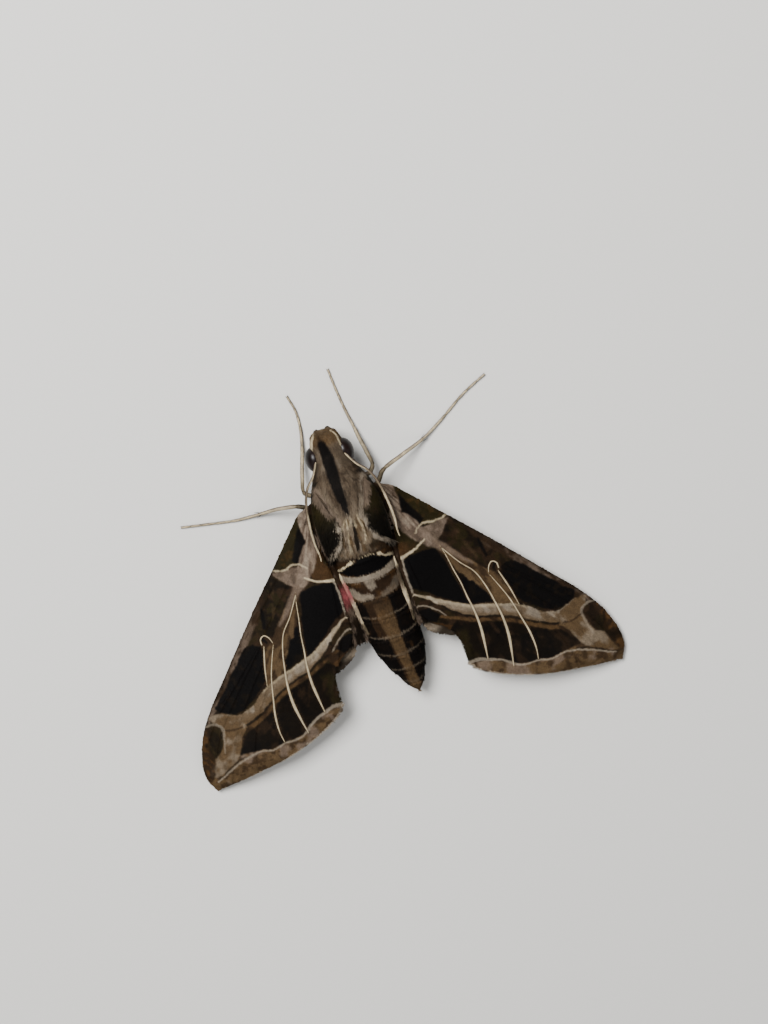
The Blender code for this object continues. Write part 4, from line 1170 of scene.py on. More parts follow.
_hind_grid = hindwing_table()


def hindwing_surface(side, sizes, layer):
    """One side of the hindwing's skin, blended from the four grid points around each place."""
    rows, columns = _hind_grid.shape[:2]

    def surface(u, v):
        a, b = np.clip(u, 0, 1) * (rows - 1), np.clip(v * 0.985, 0, 1) * (columns - 1)
        i, j = np.minimum(a.astype(int), rows - 2), np.minimum(b.astype(int), columns - 2)
        s, t = (a - i)[..., None], (b - j)[..., None]
        near, far = (_hind_grid[i, k] * (1 - s) + _hind_grid[i + 1, k] * s for k in (j, j + 1))
        point = near * (1 - t) + far * t
        point[..., 2] -= 0.1 + (0 if layer else sizes.wing_skin)
        point[..., 2] += 0.05 * np.sin(9 * math.pi * u)
        return point * (side, 1, 1)

    return surface


def wing_blades(surface, spacing, reach, width, lift, rng, paint, c, up=1.0, rows=200, columns=120,
                root=WING_ROOT):
    """Shield-shaped scales over one side of a wing, in a fan from its root, each lapping over the next."""
    u, v = scatter(surface, rows, columns, spacing, rng, ((0.004, 0.996), (0.004, 0.996)))
    roots, normal, _, _ = surface_frame(surface, u, v, 2e-3)
    normal *= np.where(normal[:, 2:3] * up < 0, -1, 1)
    side = 1.0 if roots[:, 0].mean() > 0 else -1.0
    lie = np.zeros_like(roots)
    lie[:, :2] = unit(roots[:, :2] - (side * root[0], root[1])) + 0.12 * rng.normal(size=(len(u), 2))
    size = reach * rng.uniform(0.85, 1.15, len(u))
    width = width * rng.uniform(0.9, 1.1, len(u))
    lift = lift * rng.uniform(0.7, 1.3, len(u))
    made = blades(roots - normal * 0.02, normal, lie, size, width, lift, 0.02, SHIELD)
    return made, coat_shade(roots, paint(made[0], c), rng, 0.14), np.stack([u, v], 1)


def edge_fringe(surface, start, end, count, reach, rng, paint):
    """Narrow blades along the rear edge of a wing, pointing out of it, at uneven depths."""
    u = np.sort(rng.uniform(start, end, count))
    v = 0.997 - rng.uniform(0, 0.01, count)
    roots, normal, _, across = surface_frame(surface, u, v, 2e-3)
    normal *= np.sign(normal[:, 2:3])
    lie = across + 0.15 * rng.normal(size=(count, 3))
    shades = coat_shade(roots, paint(roots), rng, 0.12)
    roots = roots - normal * rng.uniform(0, 0.1, count)[:, None]
    made = blades(roots, normal, lie, reach * rng.uniform(0.6, 1.0, count), 0.09, 0.02, -0.05)
    return made, shades, np.stack([u, v], 1)


# ================================================================ limbs
# x, y, z, radius from the body outwards
ANTENNA = ((2.15, 1.9, 8.0, 0.12), (3.2, 3.9, 7.8, 0.13), (4.55, 5.6, 7.6, 0.15), (5.4, 7.8, 7.7, 0.17),
           (5.8, 10.2, 7.7, 0.19), (6.0, 12.4, 7.75, 0.2), (6.0, 14.0, 7.8, 0.17), (5.85, 15.4, 7.9, 0.11),
           (5.9, 16.4, 7.9, 0.06))
FORELEG_LEFT = ((2.6, 8.1, 1.75, 0.4), (4.2, 8.4, 2.2, 0.48), (5.2, 7.6, 2.3, 0.4), (4.75, 5.3, 1.8, 0.42),
                (4.0, 3.1, 1.15, 0.4), (3.5, 1.5, 0.7, 0.34), (2.85, -1.3, 0.26, 0.3), (2.75, -3.9, 0.23,
                    0.28),
                (3.25, -6.3, 0.23, 0.26))
FORELEG_RIGHT = ((2.8, 7.8, 1.7, 0.4), (4.45, 7.8, 2.2, 0.48), (5.3, 6.8, 2.3, 0.4), (5.1, 4.7, 1.8, 0.42),
                 (4.7, 2.5, 1.1, 0.38), (4.5, 1.1, 0.65, 0.34), (4.1, -1.4, 0.26, 0.3), (3.7, -5.1, 0.23,
                     0.28),
                 (3.5, -8.25, 0.23, 0.26))
MIDLEG_LEFT = ((2.7, 11.5, 1.4, 0.42), (5.1, 10.1, 2.6, 0.5), (6.7, 8.8, 3.8, 0.45), (9.5, 8.7, 2.4, 0.42),
               (12.3, 9.1, 0.8, 0.34), (16.0, 9.05, 0.25, 0.29), (20.4, 8.2, 0.23, 0.28), (23.8, 7.5, 0.23,
                   0.26))
MIDLEG_RIGHT = ((2.9, 11.3, 1.3, 0.42), (5.3, 9.4, 2.6, 0.5), (6.6, 7.5, 3.8, 0.45), (9.8, 6.7, 2.4, 0.42),
                (13.2, 6.0, 0.8, 0.34), (16.6, 4.3, 0.25, 0.29), (20.9, 1.5, 0.23, 0.28), (24.7, -0.3, 0.23,
                    0.26))
HINDLEG = ((2.8, 14.6, 1.25, 0.42), (5.4, 16.2, 2.4, 0.5), (7.4, 17.8, 3.3, 0.45), (10.2, 21.6, 2.1, 0.42),
           (12.6, 25.2, 0.75, 0.34), (13.8, 29.0, 0.25, 0.29), (14.6, 33.4, 0.23, 0.28), (14.8, 37.8, 0.23,
               0.26))
# Route, number of the knee and of the ankle in it, pairs of spurs
LEGS = {
    "foreleg_left": (FORELEG_LEFT, 2, 5, 0), "foreleg_right": (FORELEG_RIGHT, 2, 5, 0),
    "midleg_left": (MIDLEG_LEFT, 2, 4, 1), "midleg_right": (MIDLEG_RIGHT, 2, 4, 1),
    "hindleg_left": (HINDLEG, 2, 4, 2), "hindleg_right": (HINDLEG, 2, 4, 2),
}
TARSUS_JOINTS = (0.36, 0.56, 0.73, 0.87)
BARE_SHARE = (0.66, 0.64, 0.56, 0.52)  # of the scaled leg's radius, at the body, knee, ankle and foot


def tube_surface(line, thickness, floor=None):
    """A round limb: u along its line, v once round it from the top.

    A ring is centre + radius (up cos 2 pi v + side sin 2 pi v), with side square to the line and level,
    and up square to both. thickness(u) multiplies the radius, and no point sinks below the floor.
    """
    at = np.linspace(0, 1, len(line))
    ahead = unit(np.gradient(line[:, :3], axis=0))
    side = unit(np.cross(ahead, (0.0, 0.0, 1.0)))
    up = np.cross(side, ahead)

    def read(u, table):
        return np.stack([np.interp(u, at, column) for column in table.T], -1)

    def surface(u, v):
        angle = 2 * math.pi * v[..., None]
        radius = np.interp(u, at, line[:, 3]) * thickness(u)
        around = read(u, up) * np.cos(angle) + read(u, side) * np.sin(angle)
        point = read(u, line[:, :3]) + radius[..., None] * around
        if floor is not None:
            point[..., 2] = np.maximum(point[..., 2], floor)
        return point

    return surface


def rounded_ends(u, share=0.012):
    """0 at both ends, 1 past the share of the length that the rounding takes, a quarter circle between."""
    s = np.clip(np.minimum(u, 1 - u) / share, 0, 1)
    return np.sqrt(1 - (1 - s) ** 2)


def leg_parts(name):
    """A leg's line, the shares of its length where its joints are, and its thickness function.

    Each joint narrows the limb by a bell curve, and each piece between two joints widens towards its far
    end.
    """
    route, knee, ankle, spurs = LEGS[name]
    route = np.array(route) * (SIDES[name.split("_")[1]], 1, 1, 1)
    line = smooth_line(route, 240)
    steps = np.linalg.norm(line[:, None, :3] - route[None, :, :3], axis=-1).argmin(0) / 239
    foot = [steps[ankle] + (1 - steps[ankle]) * s for s in TARSUS_JOINTS]
    joints = [steps[1] * 0.5, steps[knee], steps[ankle], *foot]
    ends = np.array([0, *joints, 1])

    def thickness(u):
        share = np.interp(u, ends, np.arange(len(ends)))
        share = share - np.floor(share)
        bells = sum(np.exp(-(((u - j) / 0.009) ** 2)) for j in joints)
        return (0.9 + 0.1 * share) * (1 - 0.26 * np.minimum(bells, 1)) * rounded_ends(u)

    return line, joints, thickness, spurs


def cone_line(start, direction, bend, size, radius, count=9):
    """A thin curved cone: start + direction t size + bend t squared size, its radius falling to a tenth."""
    t = np.linspace(0, 1, count)[:, None]
    middle = start + direction * t * size + bend * t**2 * size
    return np.concatenate([middle, radius * (1 - 0.9 * t)], 1)


def join_grids(grids):
    """Several closed grids as one set of points and faces."""
    points, quads, caps, start = [], [], [], 0
    for places, (body, ends) in grids:
        points.append(places)
        quads.append(body + start)
        caps.append(ends + start)
        start += len(places)
    return np.concatenate(points), [np.concatenate(quads), np.concatenate(caps)]


def limb_colours(points, u, v, c, joints):
    """Cream line above, a painted highlight on pale scales; rosy flanks; umber below as painted shade, and
    at each joint.
    """
    turn = np.cos(2 * math.pi * v)
    paint = np.tile(c.cream, (len(points), 1))
    paint = lay(paint, c.bone, 0.6 * ease((clouds(points, 0.7, 5) - 0.45) * 5))
    # The rosy flanks leave only a narrow cream line along the top: a painted highlight on pale scales.
    paint = lay(paint, c.rosy, 0.85 * ease((0.82 - turn) / 0.3))
    # Umber underneath: painted shade.
    paint = lay(paint, c.umber, 0.85 * ease((0.45 - turn) / 0.45))
    paint = lay(paint, c.clay, 0.35 * ease((0.5 - turn) / 0.4) * ease((clouds(points, 0.9, 9) - 0.5) * 5))
    paint = lay(paint, c.umber, 0.6 * ease((0.3 - u) / 0.1))
    for joint in joints:
        paint = lay(paint, c.umber, 0.6 * np.exp(-(((u - joint) / 0.007) ** 2)))
    return paint


# ================================================================ steps that build the pieces
def dress(name, skin, grid, finish, nodes, paint):
    """A closed skin piece from a surface, painted by paint(points, u, v)."""
    points, faces = closed_grid(skin, *grid)
    rows, columns = grid
    u, v = np.meshgrid(np.linspace(0, 1, rows)[1:-1], np.arange(columns) / columns, indexing="ij")
    u, v = np.append(u.ravel(), (0, 1)), np.append(v.ravel(), (0, 0))
    return make_piece(name, points, faces, finish, nodes, paint(points, u, v))


def combed(places, lie, stray, reach, width, lift, curl, rng, paint, shade=0.16, vary=None, uneven=False,
           shape=HAIR):
    """Blades along a lie with a random stray in every direction, as one part of a coat piece.

    places are (u, v, roots, normals). vary is the span of the factor on the length, and uneven does the
    same for the lift, from half to one and a half.
    """
    u, v, roots, normal = places
    lie = lie + stray * rng.normal(size=(len(u), 3))
    if vary:
        reach = reach * rng.uniform(*vary, len(u))
    if uneven:
        lift = lift * rng.uniform(0.5, 1.5, len(u))
    made = blades(roots, normal, lie, reach, width, lift, curl, shape)
    return made, coat_shade(roots, paint(roots, u, v), rng, shade), np.stack([u, v], 1)


class MOTH_OT_body(bpy.types.Operator):
    """Builds one skin for head, thorax and abdomen, and the coat of scales over it"""

    bl_idname = "moth.body"
    bl_label = "Body"
    bl_options = {"REGISTER", "UNDO"}

    def execute(self, context):
        sizes, c, rng = tools(context, 1)
        depth = sizes.coat_depth
        finish = scale_finish("body_scales", rich=1.1)
        dress("body_skin", lambda u, v: body_surface(u, v, depth), (330, 120), finish,
            ("head", "thorax", "abdomen"), lambda p, u, v: body_colours(p, c))
        short, long, fine = sizes.head_scale, sizes.thorax_hair, sizes.abdomen_scale
        reach = ((SNOUT_Y, 0.6 * short), (1, 0.85 * short), (4.5, short), (8.5, long), (16, long),
            (17.5, fine), (TAIL_Y, fine))
        head, _ = body_blades(depth, 0.118, reach, 0.14, 0.10, 0.1, rng, c, SNOUT_Y + 0.02, 5.6, 0.2, 0.0,
            clear_of_eyes, 90)
        coat_piece("coat_head", [head], finish)
        thorax, _ = body_blades(depth, 0.128, reach, 0.13, 0.10, 0.06, rng, c, 5.4, 17.3, 0.16, 0.12)
        coat_piece("coat_thorax", [thorax, self.crest(depth, sizes, c, rng)], finish)
        rear, _ = body_blades(depth, 0.138, reach, 0.20, 0.07, 0.05, rng, c, 16.2, TAIL_Y - 0.02, 0.14)
        coat_piece("coat_abdomen", [rear, self.segment_fringe(depth, sizes, c, rng)], finish)
        return {"FINISHED"}

    def crest(self, depth, sizes, c, rng):
        """Longer raised hair over the rear half of the thorax, splayed outwards from the middle."""
        reach = ((9.0, 0.8 * sizes.thorax_hair), (17.0, 0.9 * sizes.thorax_hair))
        part, roots = body_blades(depth, 0.2, reach, 0.14, 0.2, 0.1, rng, c, 9.8, 16.4, 0.35, 0.4)
        (points, faces, per, patch_uv), paint, chart = part
        outer = np.interp(roots[:, 1], (9.8, 11.5, 16.4), (1.6, 2.1, 4.0))
        keep = (roots[:, 2] > 8.3) & (np.abs(roots[:, 0]) < outer)
        keep &= rng.random(len(roots)) < 0.5
        kept_faces = [f.reshape(-1, len(roots), f.shape[1])[:, keep] for f in faces]
        number = np.cumsum(np.repeat(keep, per)) - 1
        points = points.reshape(-1, per, 3)[keep].reshape(-1, 3)
        faces = [number[f].reshape(-1, f.shape[2]) for f in kept_faces]
        return (points, faces, per, patch_uv), paint[keep], chart[keep]

    def segment_fringe(self, depth, sizes, c, rng):
        """A row of longer scales along the rear edge of each segment of the abdomen."""
        y = np.repeat(SEGMENT_RINGS[1:-1], FRINGE_COUNT)
        y = y - rng.uniform(0.05, 0.4, len(y))
        u, v = body_share(y), rng.random(len(y))
        roots, normal, along, across = surface_frame(lambda a, b: body_surface(a, b, depth), u, v)
        lie = along + across * rng.normal(0, 0.12, len(u))[:, None]
        paint = coat_shade(roots, body_colours(roots + (0, 0.3, 0), c), rng)
        made = blades(roots, normal, lie, sizes.abdomen_scale * rng.uniform(1.0, 1.3, len(u)), 0.17, 0.14,
            0.02)
        return made, paint, body_map(u, v)


class MOTH_OT_head_parts(bpy.types.Operator):
    """Builds the eyes and the two palps in front of the mouth"""

    bl_idname = "moth.head_parts"
    bl_label = "Eyes and palps"
    bl_options = {"REGISTER", "UNDO"}

    def execute(self, context):
        _, c, rng = tools(context, 2)
        facets = eye_finish(c)
        fur = scale_finish("palp_scales")

        def paint(points, u, v):
            return self.palp_colours(points, c)

        for side, sign in SIDES.items():
            def eye(u, v):
                t, s = math.pi * u, 2 * math.pi * v
                ball = np.stack([np.sin(t) * np.cos(s), np.sin(t) * np.sin(s), np.cos(t)], -1)
                return ball * (EYE_RADII - 0.03) + EYE_CENTRE * (sign, 1, 1)

            points, faces = closed_grid(eye, 48, 72)
            make_piece(f"eye_{side}_facets", points, faces, facets, ("eye_" + side,))
            skin = palp_surface(sign, -0.14)
            dress(f"palp_{side}_skin", skin, (36, 32), fur, ("palp_" + side,), paint)
            u, v = scatter(skin, 40, 40, 0.12, rng)
            roots, normal, _, _ = surface_frame(skin, u, v)
            normal *= np.sign(((roots - PALP_CENTRE * (sign, 1, 1)) * normal).sum(-1, keepdims=True))
            lie = np.array((0.1 * sign, 0.1, 1.0))
            part = combed((u, v, roots, normal), lie, 0.15, 0.36, 0.13, 0.08, 0.0, rng, paint,
                vary=(0.8, 1.2))
            coat_piece(f"coat_palp_{side}", [part], fur)
        return {"FINISHED"}

    def palp_colours(self, points, c):
        """Tan and clay at the tip and in front, bone along the outer side, umber low on the inner side."""
        x, _, z = points.T
        paint = lay(np.tile(c.tan, (len(x), 1)), c.clay, 0.6 * ease((clouds(points, 0.6, 5) - 0.45) * 5))
        paint = lay(paint, c.bone, 0.6 * ease((np.abs(x) - 0.85) / 0.3))
        return lay(paint, c.umber, 0.6 * ease((0.45 - np.abs(x)) / 0.2) * ease((4.6 - z) / 0.6))


class MOTH_OT_flaps(bpy.types.Operator):
    """Builds the two shoulder flaps that cover the wing roots, with their scales and pale fringe"""

    bl_idname = "moth.flaps"
    bl_label = "Shoulder flaps"
    bl_options = {"REGISTER", "UNDO"}

    def execute(self, context):
        sizes, c, rng = tools(context, 3)
        finish = scale_finish("flap_scales")

        def paint(points, u, v):
            return tegula_colours(points, c)

        for side, sign in SIDES.items():
            skin = tegula_surface(sign, 0.18)
            dress(f"tegula_{side}_skin", skin, (110, 64), finish, ("tegula_" + side,),
                paint)

            def hair(u, v, reach, width, lift, inwards=0.0):
                roots, normal, _, _ = surface_frame(skin, u, v)
                normal *= np.where(normal[:, 2:3] < -0.2, -1, 1)
                lie = np.array((-sign * inwards, 1.0, -0.05))
                made, shades, chart = combed((u, v, roots, normal), lie, 0.16, reach, width, lift, 0.05,
                    rng, paint, vary=(0.75, 1.15), uneven=True)
                return made, shades, chart * (1, 2)

            u, v = scatter(skin, 90, 60, 0.115, rng, ((0.01, 0.99), (0.02, 0.48)))
            parts = [hair(u, v, sizes.thorax_hair * 0.95, 0.13, 0.13)]
            u = rng.uniform(0.3, 0.985, 900)
            parts.append(hair(u, 0.05 + rng.uniform(0, 0.07, 900), 1.0, 0.11, 0.28, 0.22))
            u = rng.uniform(0.9, 0.995, 420)
            parts.append(hair(u, rng.uniform(0.05, 0.45, 420), 1.35, 0.12, 0.12))
            coat_piece(f"coat_tegula_{side}", parts, finish)
        return {"FINISHED"}


class MOTH_OT_forewings(bpy.types.Operator):
    """Builds the two forewings: a thin veined skin, the scales on both its sides and the outer fringe"""

    bl_idname = "moth.forewings"
    bl_label = "Forewings"
    bl_options = {"REGISTER", "UNDO"}

    def execute(self, context):
        sizes, c, rng = tools(context, 4)
        finish = scale_finish("forewing_scales", roughness=0.66)
        for side, sign in SIDES.items():
            upper, lower = forewing_surface(sign, sizes, 1), forewing_surface(sign, sizes, 0)
            dress(f"forewing_{side}_skin", closed_wing(upper, lower), (240, 150), finish,
                ("forewing_" + side,), lambda p, u, v: forewing_colours(p, c))
            reach = sizes.wing_scale
            top = wing_blades(upper, sizes.wing_spacing, reach, reach * 0.62, 0.13, rng, forewing_colours,
                c)
            coat_piece(f"coat_forewing_{side}", [top], finish)
            under = wing_blades(lower, sizes.wing_spacing * 1.45, reach * 1.25, reach * 0.85, 0.1, rng,
                underside_colours, c, -1.0)
            coat_piece(f"coat_forewing_{side}_underside", [under], finish)
            self.veins(side, upper, finish, c)
            fringe = edge_fringe(upper, 0.6, 0.985, 1100, sizes.fringe, rng,
                lambda roots: self.fringe_colours(roots, c))
            hair = edge_fringe(upper, 0.16, 0.6, 900, 0.45, rng, lambda roots: forewing_colours(roots, c))
            coat_piece(f"fringe_forewing_{side}", [fringe, hair], finish)
        return {"FINISHED"}

    def veins(self, side, upper, finish, c):
        """The pale veins as low ridges with an elliptical section, set on the upper side of the wing.

        The height at a place of a vein is the mean of the four nearest points of a fine grid over the wing,
        weighed by closeness and smoothed over nine places.
        """
        u, v = np.meshgrid(np.linspace(0, 1, 261), np.linspace(0, 1, 101), indexing="ij")
        grid = upper(u.ravel(), v.ravel())
        at = np.linspace(0, 1, VEIN_PLACES)
        grids, paint = [], []
        for line, widths in PALE_LINES.values():
            plan = smooth_line(line, VEIN_PLACES) * (SIDES[side], 1)
            height = height_over(grid, plan, 4, 0.01)
            height = np.convolve(np.pad(height, 4, mode="edge"), np.full(9, 1 / 9), mode="valid") + 0.02
            radius = np.interp(at, np.linspace(0, 1, len(widths)), widths) / 2
            round_ridge = tube_surface(np.column_stack([plan, height, radius]),
                lambda a: rounded_ends(a, 0.02))

            def ridge(a, b):
                point = round_ridge(a, b)
                middle = np.interp(a, at, height)
                point[..., 2] = middle + 0.5 * (point[..., 2] - middle)
                return point

            grids.append(closed_grid(ridge, 160, 8))
            shade = 0.75 + 0.5 * (clouds(grids[-1][0], 0.9, 5) - 0.3)
            paint.append(np.clip(c.cream * shade[:, None], 0, 1))
        points, faces = join_grids(grids)
        make_piece(f"forewing_{side}_veins", points, faces, finish, (), np.concatenate(paint))

    def fringe_colours(self, roots, c):
        """Bone, broken by umber where the veins end."""
        paint = np.tile(c.bone, (len(roots), 1))
        return lay(paint, c.umber, 0.8 * ease((clouds(roots, 1.5, 3) - 0.5) * 6))


class MOTH_OT_hindwings(bpy.types.Operator):
    """Builds the two hindwings under the forewings, and the pale fold of each along the abdomen"""

    bl_idname = "moth.hindwings"
    bl_label = "Hindwings"
    bl_options = {"REGISTER", "UNDO"}

    def execute(self, context):
        sizes, c, rng = tools(context, 5)
        finish = scale_finish("hindwing_scales")
        reach = sizes.wing_scale * 1.1
        for side, sign in SIDES.items():
            upper, lower = hindwing_surface(sign, sizes, 1), hindwing_surface(sign, sizes, 0)
            dress(f"hindwing_{side}_skin", closed_wing(upper, lower), (90, 70), finish,
                ("hindwing_" + side,), lambda p, u, v: hindwing_colours(p, c))
            skins = (("", upper, 1.0, hindwing_colours), ("_underside", lower, -1.0, underside_colours))
            for label, surface, up, paint in skins:
                part = wing_blades(surface, 0.22, reach, reach * 0.7, 0.12, rng, paint, c, up, 90, 70,
                    HINDWING_ROOT)
                coat_piece(f"coat_hindwing_{side}{label}", [part], finish)
            self.margin(side, "web", self.web_surface(sign), (120, 24), (80, 20, 0.13), (0.02, 0.48),
                (0.8, 0.12, 0.1), lambda p, u, v: self.web_colours(p, sign, c), finish, rng)
            self.margin(side, "fold", self.fold_surface(sign), (90, 20), (80, 16, 0.11), (0, 1),
                (0.9, 0.1, 0.08), lambda p, u, v: self.fold_colours(p, sign, c), finish, rng)
        return {"FINISHED"}

    def margin(self, side, part, surface, grid, cells, round_span, blade, paint, finish, rng):
        """A piece of the wing's inner margin: its skin, and hair of (length, width, lift) lying back."""
        dress(f"hindwing_{side}_{part}", surface, grid, finish, (), paint)
        u, v = scatter(surface, *cells, rng, ((0.01, 0.97), round_span))
        roots, normal, along, _ = surface_frame(surface, u, v)
        if part == "web":
            normal *= np.sign(normal[:, 2:3])
        else:
            middle = (surface(u, v) + surface(u, v + 0.5)) / 2
            normal *= -1 if ((roots - middle) * normal).sum() < 0 else 1
        reach, width, lift = blade
        made, shades, chart = combed((u, v, roots, normal), along, 0.12, reach, width, lift, 0.03, rng,
            paint, 0.1, (0.7, 1.2))
        chart = chart * (1, 2 if part == "web" else 1)
        coat_piece(f"coat_hindwing_{side}_{part}", [(made, shades, chart)], finish)

    def web_surface(self, sign):
        """The thin inner part of each hindwing, which bridges the gap from the forewing to the body.

        At each distance back it runs straight from a place on the body's side to a place under the
        forewing's edge; its lower side lies a fixed thickness below its upper side.
        """
        def surface(u, v):
            y = WEB_START + WEB_LENGTH * u
            share = (1 - np.cos(2 * math.pi * v)) / 2
            low = np.interp(y, (WEB_START, 24, 31.4), (6.2, 5.9, 5.0))
            near = body_side(y, low, sign) - 0.35
            at = np.interp(y, _inner[:, 1], np.linspace(0, TORNUS_AT, len(_inner)))
            far = np.interp(y, _inner[:, 1], _inner[:, 0]) + 0.5
            edge = np.interp(at, *zip(*TRAILING_HEIGHT)) - 0.55
            x = near + (far - near) * share
            z = low + (edge - low) * share - 0.05 + 0.05 * np.clip(np.sin(2 * math.pi * v) * 8, -1, 1)
            return np.stack([sign * x, y, z], -1)

        return surface

    def web_colours(self, points, sign, c):
        """Umber and bark, with rosy pink in front on the left."""
        y = points[:, 1] + 0.8 * (clouds(points, 1.0, 3) - 0.5)
        paint = lay(np.tile(c.umber, (len(y), 1)), c.bark, ease((y - 24) / 5))
        paint = lay(paint, c.rosy, 0.5 * ease((clouds(points * (1, 0.3, 1), 0.5, 13) - 0.5) * 5))
        if sign < 0:
            return paint
        broken = 0.55 + 0.45 * ease((clouds(points, 0.5, 23) - 0.4) * 5)
        return lay(paint, c.pink, 0.6 * ease((y - 20.4) / 2.2) * ease((25.4 - y) / 2.0) * broken)

    def fold_surface(self, sign):
        """The inner margin of the hindwing, folded up against the abdomen as a soft ridge of pale hair."""
        y = np.linspace(FOLD_START, FOLD_END, 60)
        z = np.interp(y, (18.6, 24, 30.6), (6.7, 6.5, 5.8))
        radius = 0.27 * np.sin(math.pi * np.linspace(0.06, 0.97, len(y))) ** 0.6
        line = np.stack([sign * (body_side(y, z, sign) + 0.02), y, z, radius], 1)
        return tube_surface(line, lambda u: rounded_ends(u, 0.05))

    def fold_colours(self, points, sign, c):
        """Cream in its middle, umber behind, rosy pink in front on the left."""
        y = points[:, 1] + 0.6 * (clouds(points, 0.8, 17) - 0.5)
        paint = np.tile(c.cream, (len(y), 1))
        paint = lay(paint, c.rosy, 0.8 * ease((0.5 - clouds(points * (1, 0.3, 1), 0.5, 13)) * 5 + 0.3))
        paint = lay(paint, c.umber, 0.85 * ease((y - 27.0) / 1.2))
        return lay(paint, c.pink if sign > 0 else c.umber, 0.8 * ease(y - 19.8) * ease((24.2 - y) / 1.6))


class MOTH_OT_antennae(bpy.types.Operator):
    """Builds the two ringed antennae, laid back beside the thorax"""

    bl_idname = "moth.antennae"
    bl_label = "Antennae"
    bl_options = {"REGISTER", "UNDO"}

    def execute(self, context):
        _, c, rng = tools(context, 6)
        finish = scale_finish("antenna_scales", roughness=0.5)
        for side, sign in SIDES.items():
            line = smooth_line(np.array(ANTENNA) * (sign, 1, 1, 1), 240)
            skin = tube_surface(line,
                lambda u: (0.93 + 0.06 * np.abs(np.sin(58 * math.pi * u))) * rounded_ends(u))

            def paint(points, u, v):
                return self.antenna_colours(u, v, sign, c)

            dress(f"antenna_{side}_rings", skin, (460, 18), finish, ("antenna_" + side,),
                paint)
            u, v = scatter(skin, 240, 16, 0.09, rng, ((0.01, 0.985), (0, 1)))
            roots, normal, along, _ = surface_frame(skin, u, v)
            normal *= -1 if normal[(v < 0.1) | (v > 0.9)][:, 2].mean() < 0 else 1
            part = combed((u, v, roots, normal), along, 0.08, 0.26, 0.1, 0.08, 0.0, rng, paint, 0.1,
                shape=SHIELD)
            coat_piece(f"coat_antenna_{side}", [part], finish)
        return {"FINISHED"}

    def antenna_colours(self, u, v, sign, c):
        """Cream along a line above, rosy brown beside it, umber below and on the inner side as painted
        shadow.
        """
        paint = np.tile(c.cream, (len(u), 1))
        inner = np.cos(2 * math.pi * (v + 0.1 * sign))
        paint = lay(paint, 0.6 * c.rosy + 0.4 * c.clay, 0.9 * ease((0.78 - inner) / 0.35))
        paint = lay(paint, 0.5 * (c.rosy + c.umber), 0.8 * ease((u - 0.2) / 0.1) * ease((0.58 - u) / 0.1))
        # Umber below and on the inner side: painted shadow.
        return lay(paint, c.umber, 0.8 * ease((0.2 - inner) / 0.4))


class MOTH_OT_legs(bpy.types.Operator):
    """Builds the six legs with their joints, scales, spurs and claws"""

    bl_idname = "moth.legs"
    bl_label = "Legs"
    bl_options = {"REGISTER", "UNDO"}

    def execute(self, context):
        sizes, c, rng = tools(context, 7)
        finish = scale_finish("leg_scales", roughness=0.55)
        horn = scale_finish("claw_horn", 0.32, 0.5, 0.00008, 0.1, 0.6)
        for name in LEGS:
            line, joints, thickness, spurs = leg_parts(name)

            def bare(u):
                return thickness(u) * np.interp(u, (0, joints[1], joints[2], 1), BARE_SHARE)

            def paint(points, u, v):
                return limb_colours(points, u, v, c, joints)

            skin = tube_surface(line, bare, 0.02)
            dress(name + "_skin", skin, (300, 16), finish, (name,), paint)
            u, v = scatter(skin, 200, 16, 0.105, rng, ((0.02, 0.985), (0, 1)))
            roots, _, along, _ = surface_frame(skin, u, v)
            centre = np.stack([np.interp(u, np.linspace(0, 1, len(line)), line[:, i]) for i in range(3)], 1)
            reach = sizes.leg_scale * np.interp(u, (0, joints[2], 1), (1.25, 1.0, 0.7))
            part = combed((u, v, roots, unit(roots - centre)), along, 0.12, reach, 0.11, 0.12, 0.0, rng,
                paint)
            places = part[0][0]
            places[:, 2] = np.maximum(places[:, 2], 0.005)
            coat_piece(f"coat_{name}", [part], finish)
            self.horns(name, line, joints, spurs, horn, c)
        return {"FINISHED"}

    def horns(self, name, line, joints, spurs, horn, c):
        """Two hooked claws at the end of the foot, and the spurs at the end of the shin."""
        line = line[:, :3]
        ahead = unit(line[-1] - line[-12])
        side = unit(np.cross(ahead, (0, 0, 1)))
        cones = [cone_line(line[-4] + side * s * 0.07 + (0, 0, 0.06), unit(ahead + 0.35 * s * side),
            np.array((0, 0, -0.22)), 0.42, 0.055) for s in (-1, 1)]
        for pair in range(spurs):
            at = int((len(line) - 1) * (joints[2] - 0.1 * pair))
            forward = unit(line[at] - line[at - 8])
            out = unit(np.cross(forward, (0, 0, 1)))
            cones += [cone_line(line[at] + out * s * 0.2, unit(forward + 0.45 * s * out), -0.15 * s * out,
                1.0, 0.075) for s in (-1, 1)]
        grids = []
        for cone in cones:
            cone[:, 2] = np.maximum(cone[:, 2], 0.07)
            grids.append(closed_grid(tube_surface(cone, lambda u: rounded_ends(u, 0.1), 0.01), 10, 8))
        points, faces = join_grids(grids)
        make_piece(name + "_claws", points, faces, horn, (), np.tile(c.bark, (len(points), 1)))


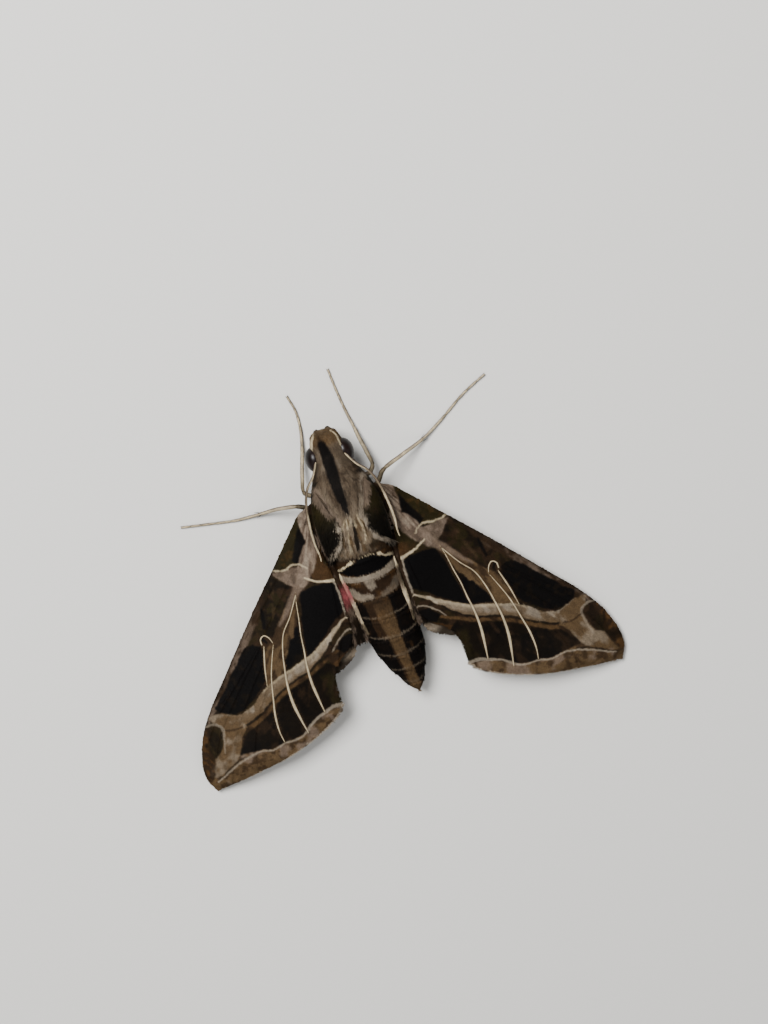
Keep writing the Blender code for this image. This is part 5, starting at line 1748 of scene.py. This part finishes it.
class MOTH_OT_stage(bpy.types.Operator):
    """Sets the pale floor, the soft lights and the camera"""

    bl_idname = "moth.stage"
    bl_label = "Stage"
    bl_options = {"REGISTER", "UNDO"}

    def execute(self, context):
        _, c, _ = tools(context, 8)
        link = bpy.context.scene.collection.objects.link
        mesh = bpy.data.meshes.new("floor")
        corners = [(x * FLOOR_HALF, y * FLOOR_HALF, 0) for x, y in ((-1, -1), (1, -1), (1, 1), (-1, 1))]
        mesh.from_pydata(corners, [], [(0, 1, 2, 3)])
        floor = bpy.data.objects.new("floor", mesh)
        finish, shader_with, _, _ = blank_finish("floor_paint")
        shader_with(Base_Color=(*c.floor, 1), Roughness=0.9)
        mesh.materials.append(finish)
        link(floor)
        place = CAMERA_TARGET + CAMERA_DISTANCE * CAMERA_BACK
        back = unit(CAMERA_BACK - CAMERA_PAN * CAMERA_RIGHT - CAMERA_TILT * CAMERA_UP)
        right = unit(np.cross(CAMERA_UP, back))
        up = np.cross(back, right)
        camera = bpy.data.objects.new("camera", bpy.data.cameras.new("camera"))
        camera.data.lens, camera.data.sensor_width = CAMERA_LENS, CAMERA_SENSOR
        camera.data.clip_start, camera.data.clip_end = 0.01, 10.0
        turned = Matrix(np.stack([right, up, back], 1).tolist()).to_4x4()
        camera.matrix_world = Matrix.Translation(Vector(put(place).tolist())) @ turned
        link(camera)
        bpy.context.scene.camera = camera
        for name, to_right, to_up, height, distance, size, power in LIGHTS:
            light = bpy.data.objects.new(name, bpy.data.lights.new(name, "AREA"))
            light.data.size = size
            light.data.energy = power
            towards = unit(to_right * right + to_up * up + np.array((0, 0, height)))
            spot = Vector((put(CAMERA_TARGET) + towards * distance).tolist())
            turn = Vector(towards.tolist()).to_track_quat("Z", "Y")
            light.matrix_world = Matrix.Translation(spot) @ turn.to_matrix().to_4x4()
            link(light)
        world = bpy.data.worlds.new("studio")
        world.use_nodes = True
        background = world.node_tree.nodes["Background"]
        background.inputs["Color"].default_value = SKY_COLOUR
        background.inputs["Strength"].default_value = SKY_STRENGTH
        bpy.context.scene.world = world
        return {"FINISHED"}


class MOTH_PT_panel(bpy.types.Panel):
    """Sizes, colours and building steps of the moth"""

    bl_idname = "MOTH_PT_panel"
    bl_label = "Moth"
    bl_space_type = "VIEW_3D"
    bl_region_type = "UI"
    bl_category = "Moth"

    def draw(self, context):
        for group in (context.scene.moth_sizes, context.scene.moth_colours):
            column = self.layout.column()
            for name in group.bl_rna.properties.keys():
                if name not in ("rna_type", "name"):
                    column.prop(group, name)
        for step in STEPS:
            self.layout.operator(step.bl_idname)


STEPS = (
    MOTH_OT_body, MOTH_OT_head_parts, MOTH_OT_flaps, MOTH_OT_forewings,
    MOTH_OT_hindwings, MOTH_OT_antennae, MOTH_OT_legs, MOTH_OT_stage,
)
CLASSES = (MothSizes, MothColours, *STEPS, MOTH_PT_panel)


def register():
    """Adds the sizes, colours, steps and panel to Blender."""
    for item in CLASSES:
        bpy.utils.register_class(item)
    bpy.types.Scene.moth_sizes = PointerProperty(type=MothSizes)
    bpy.types.Scene.moth_colours = PointerProperty(type=MothColours)


def unregister():
    """Takes them out again."""
    del bpy.types.Scene.moth_colours
    del bpy.types.Scene.moth_sizes
    for item in reversed(CLASSES):
        bpy.utils.unregister_class(item)


def main():
    """Builds every piece in order."""
    register()
    for step in STEPS:
        group, name = step.bl_idname.split(".")
        getattr(getattr(bpy.ops, group), name)()


if __name__ == "__main__":
    main()
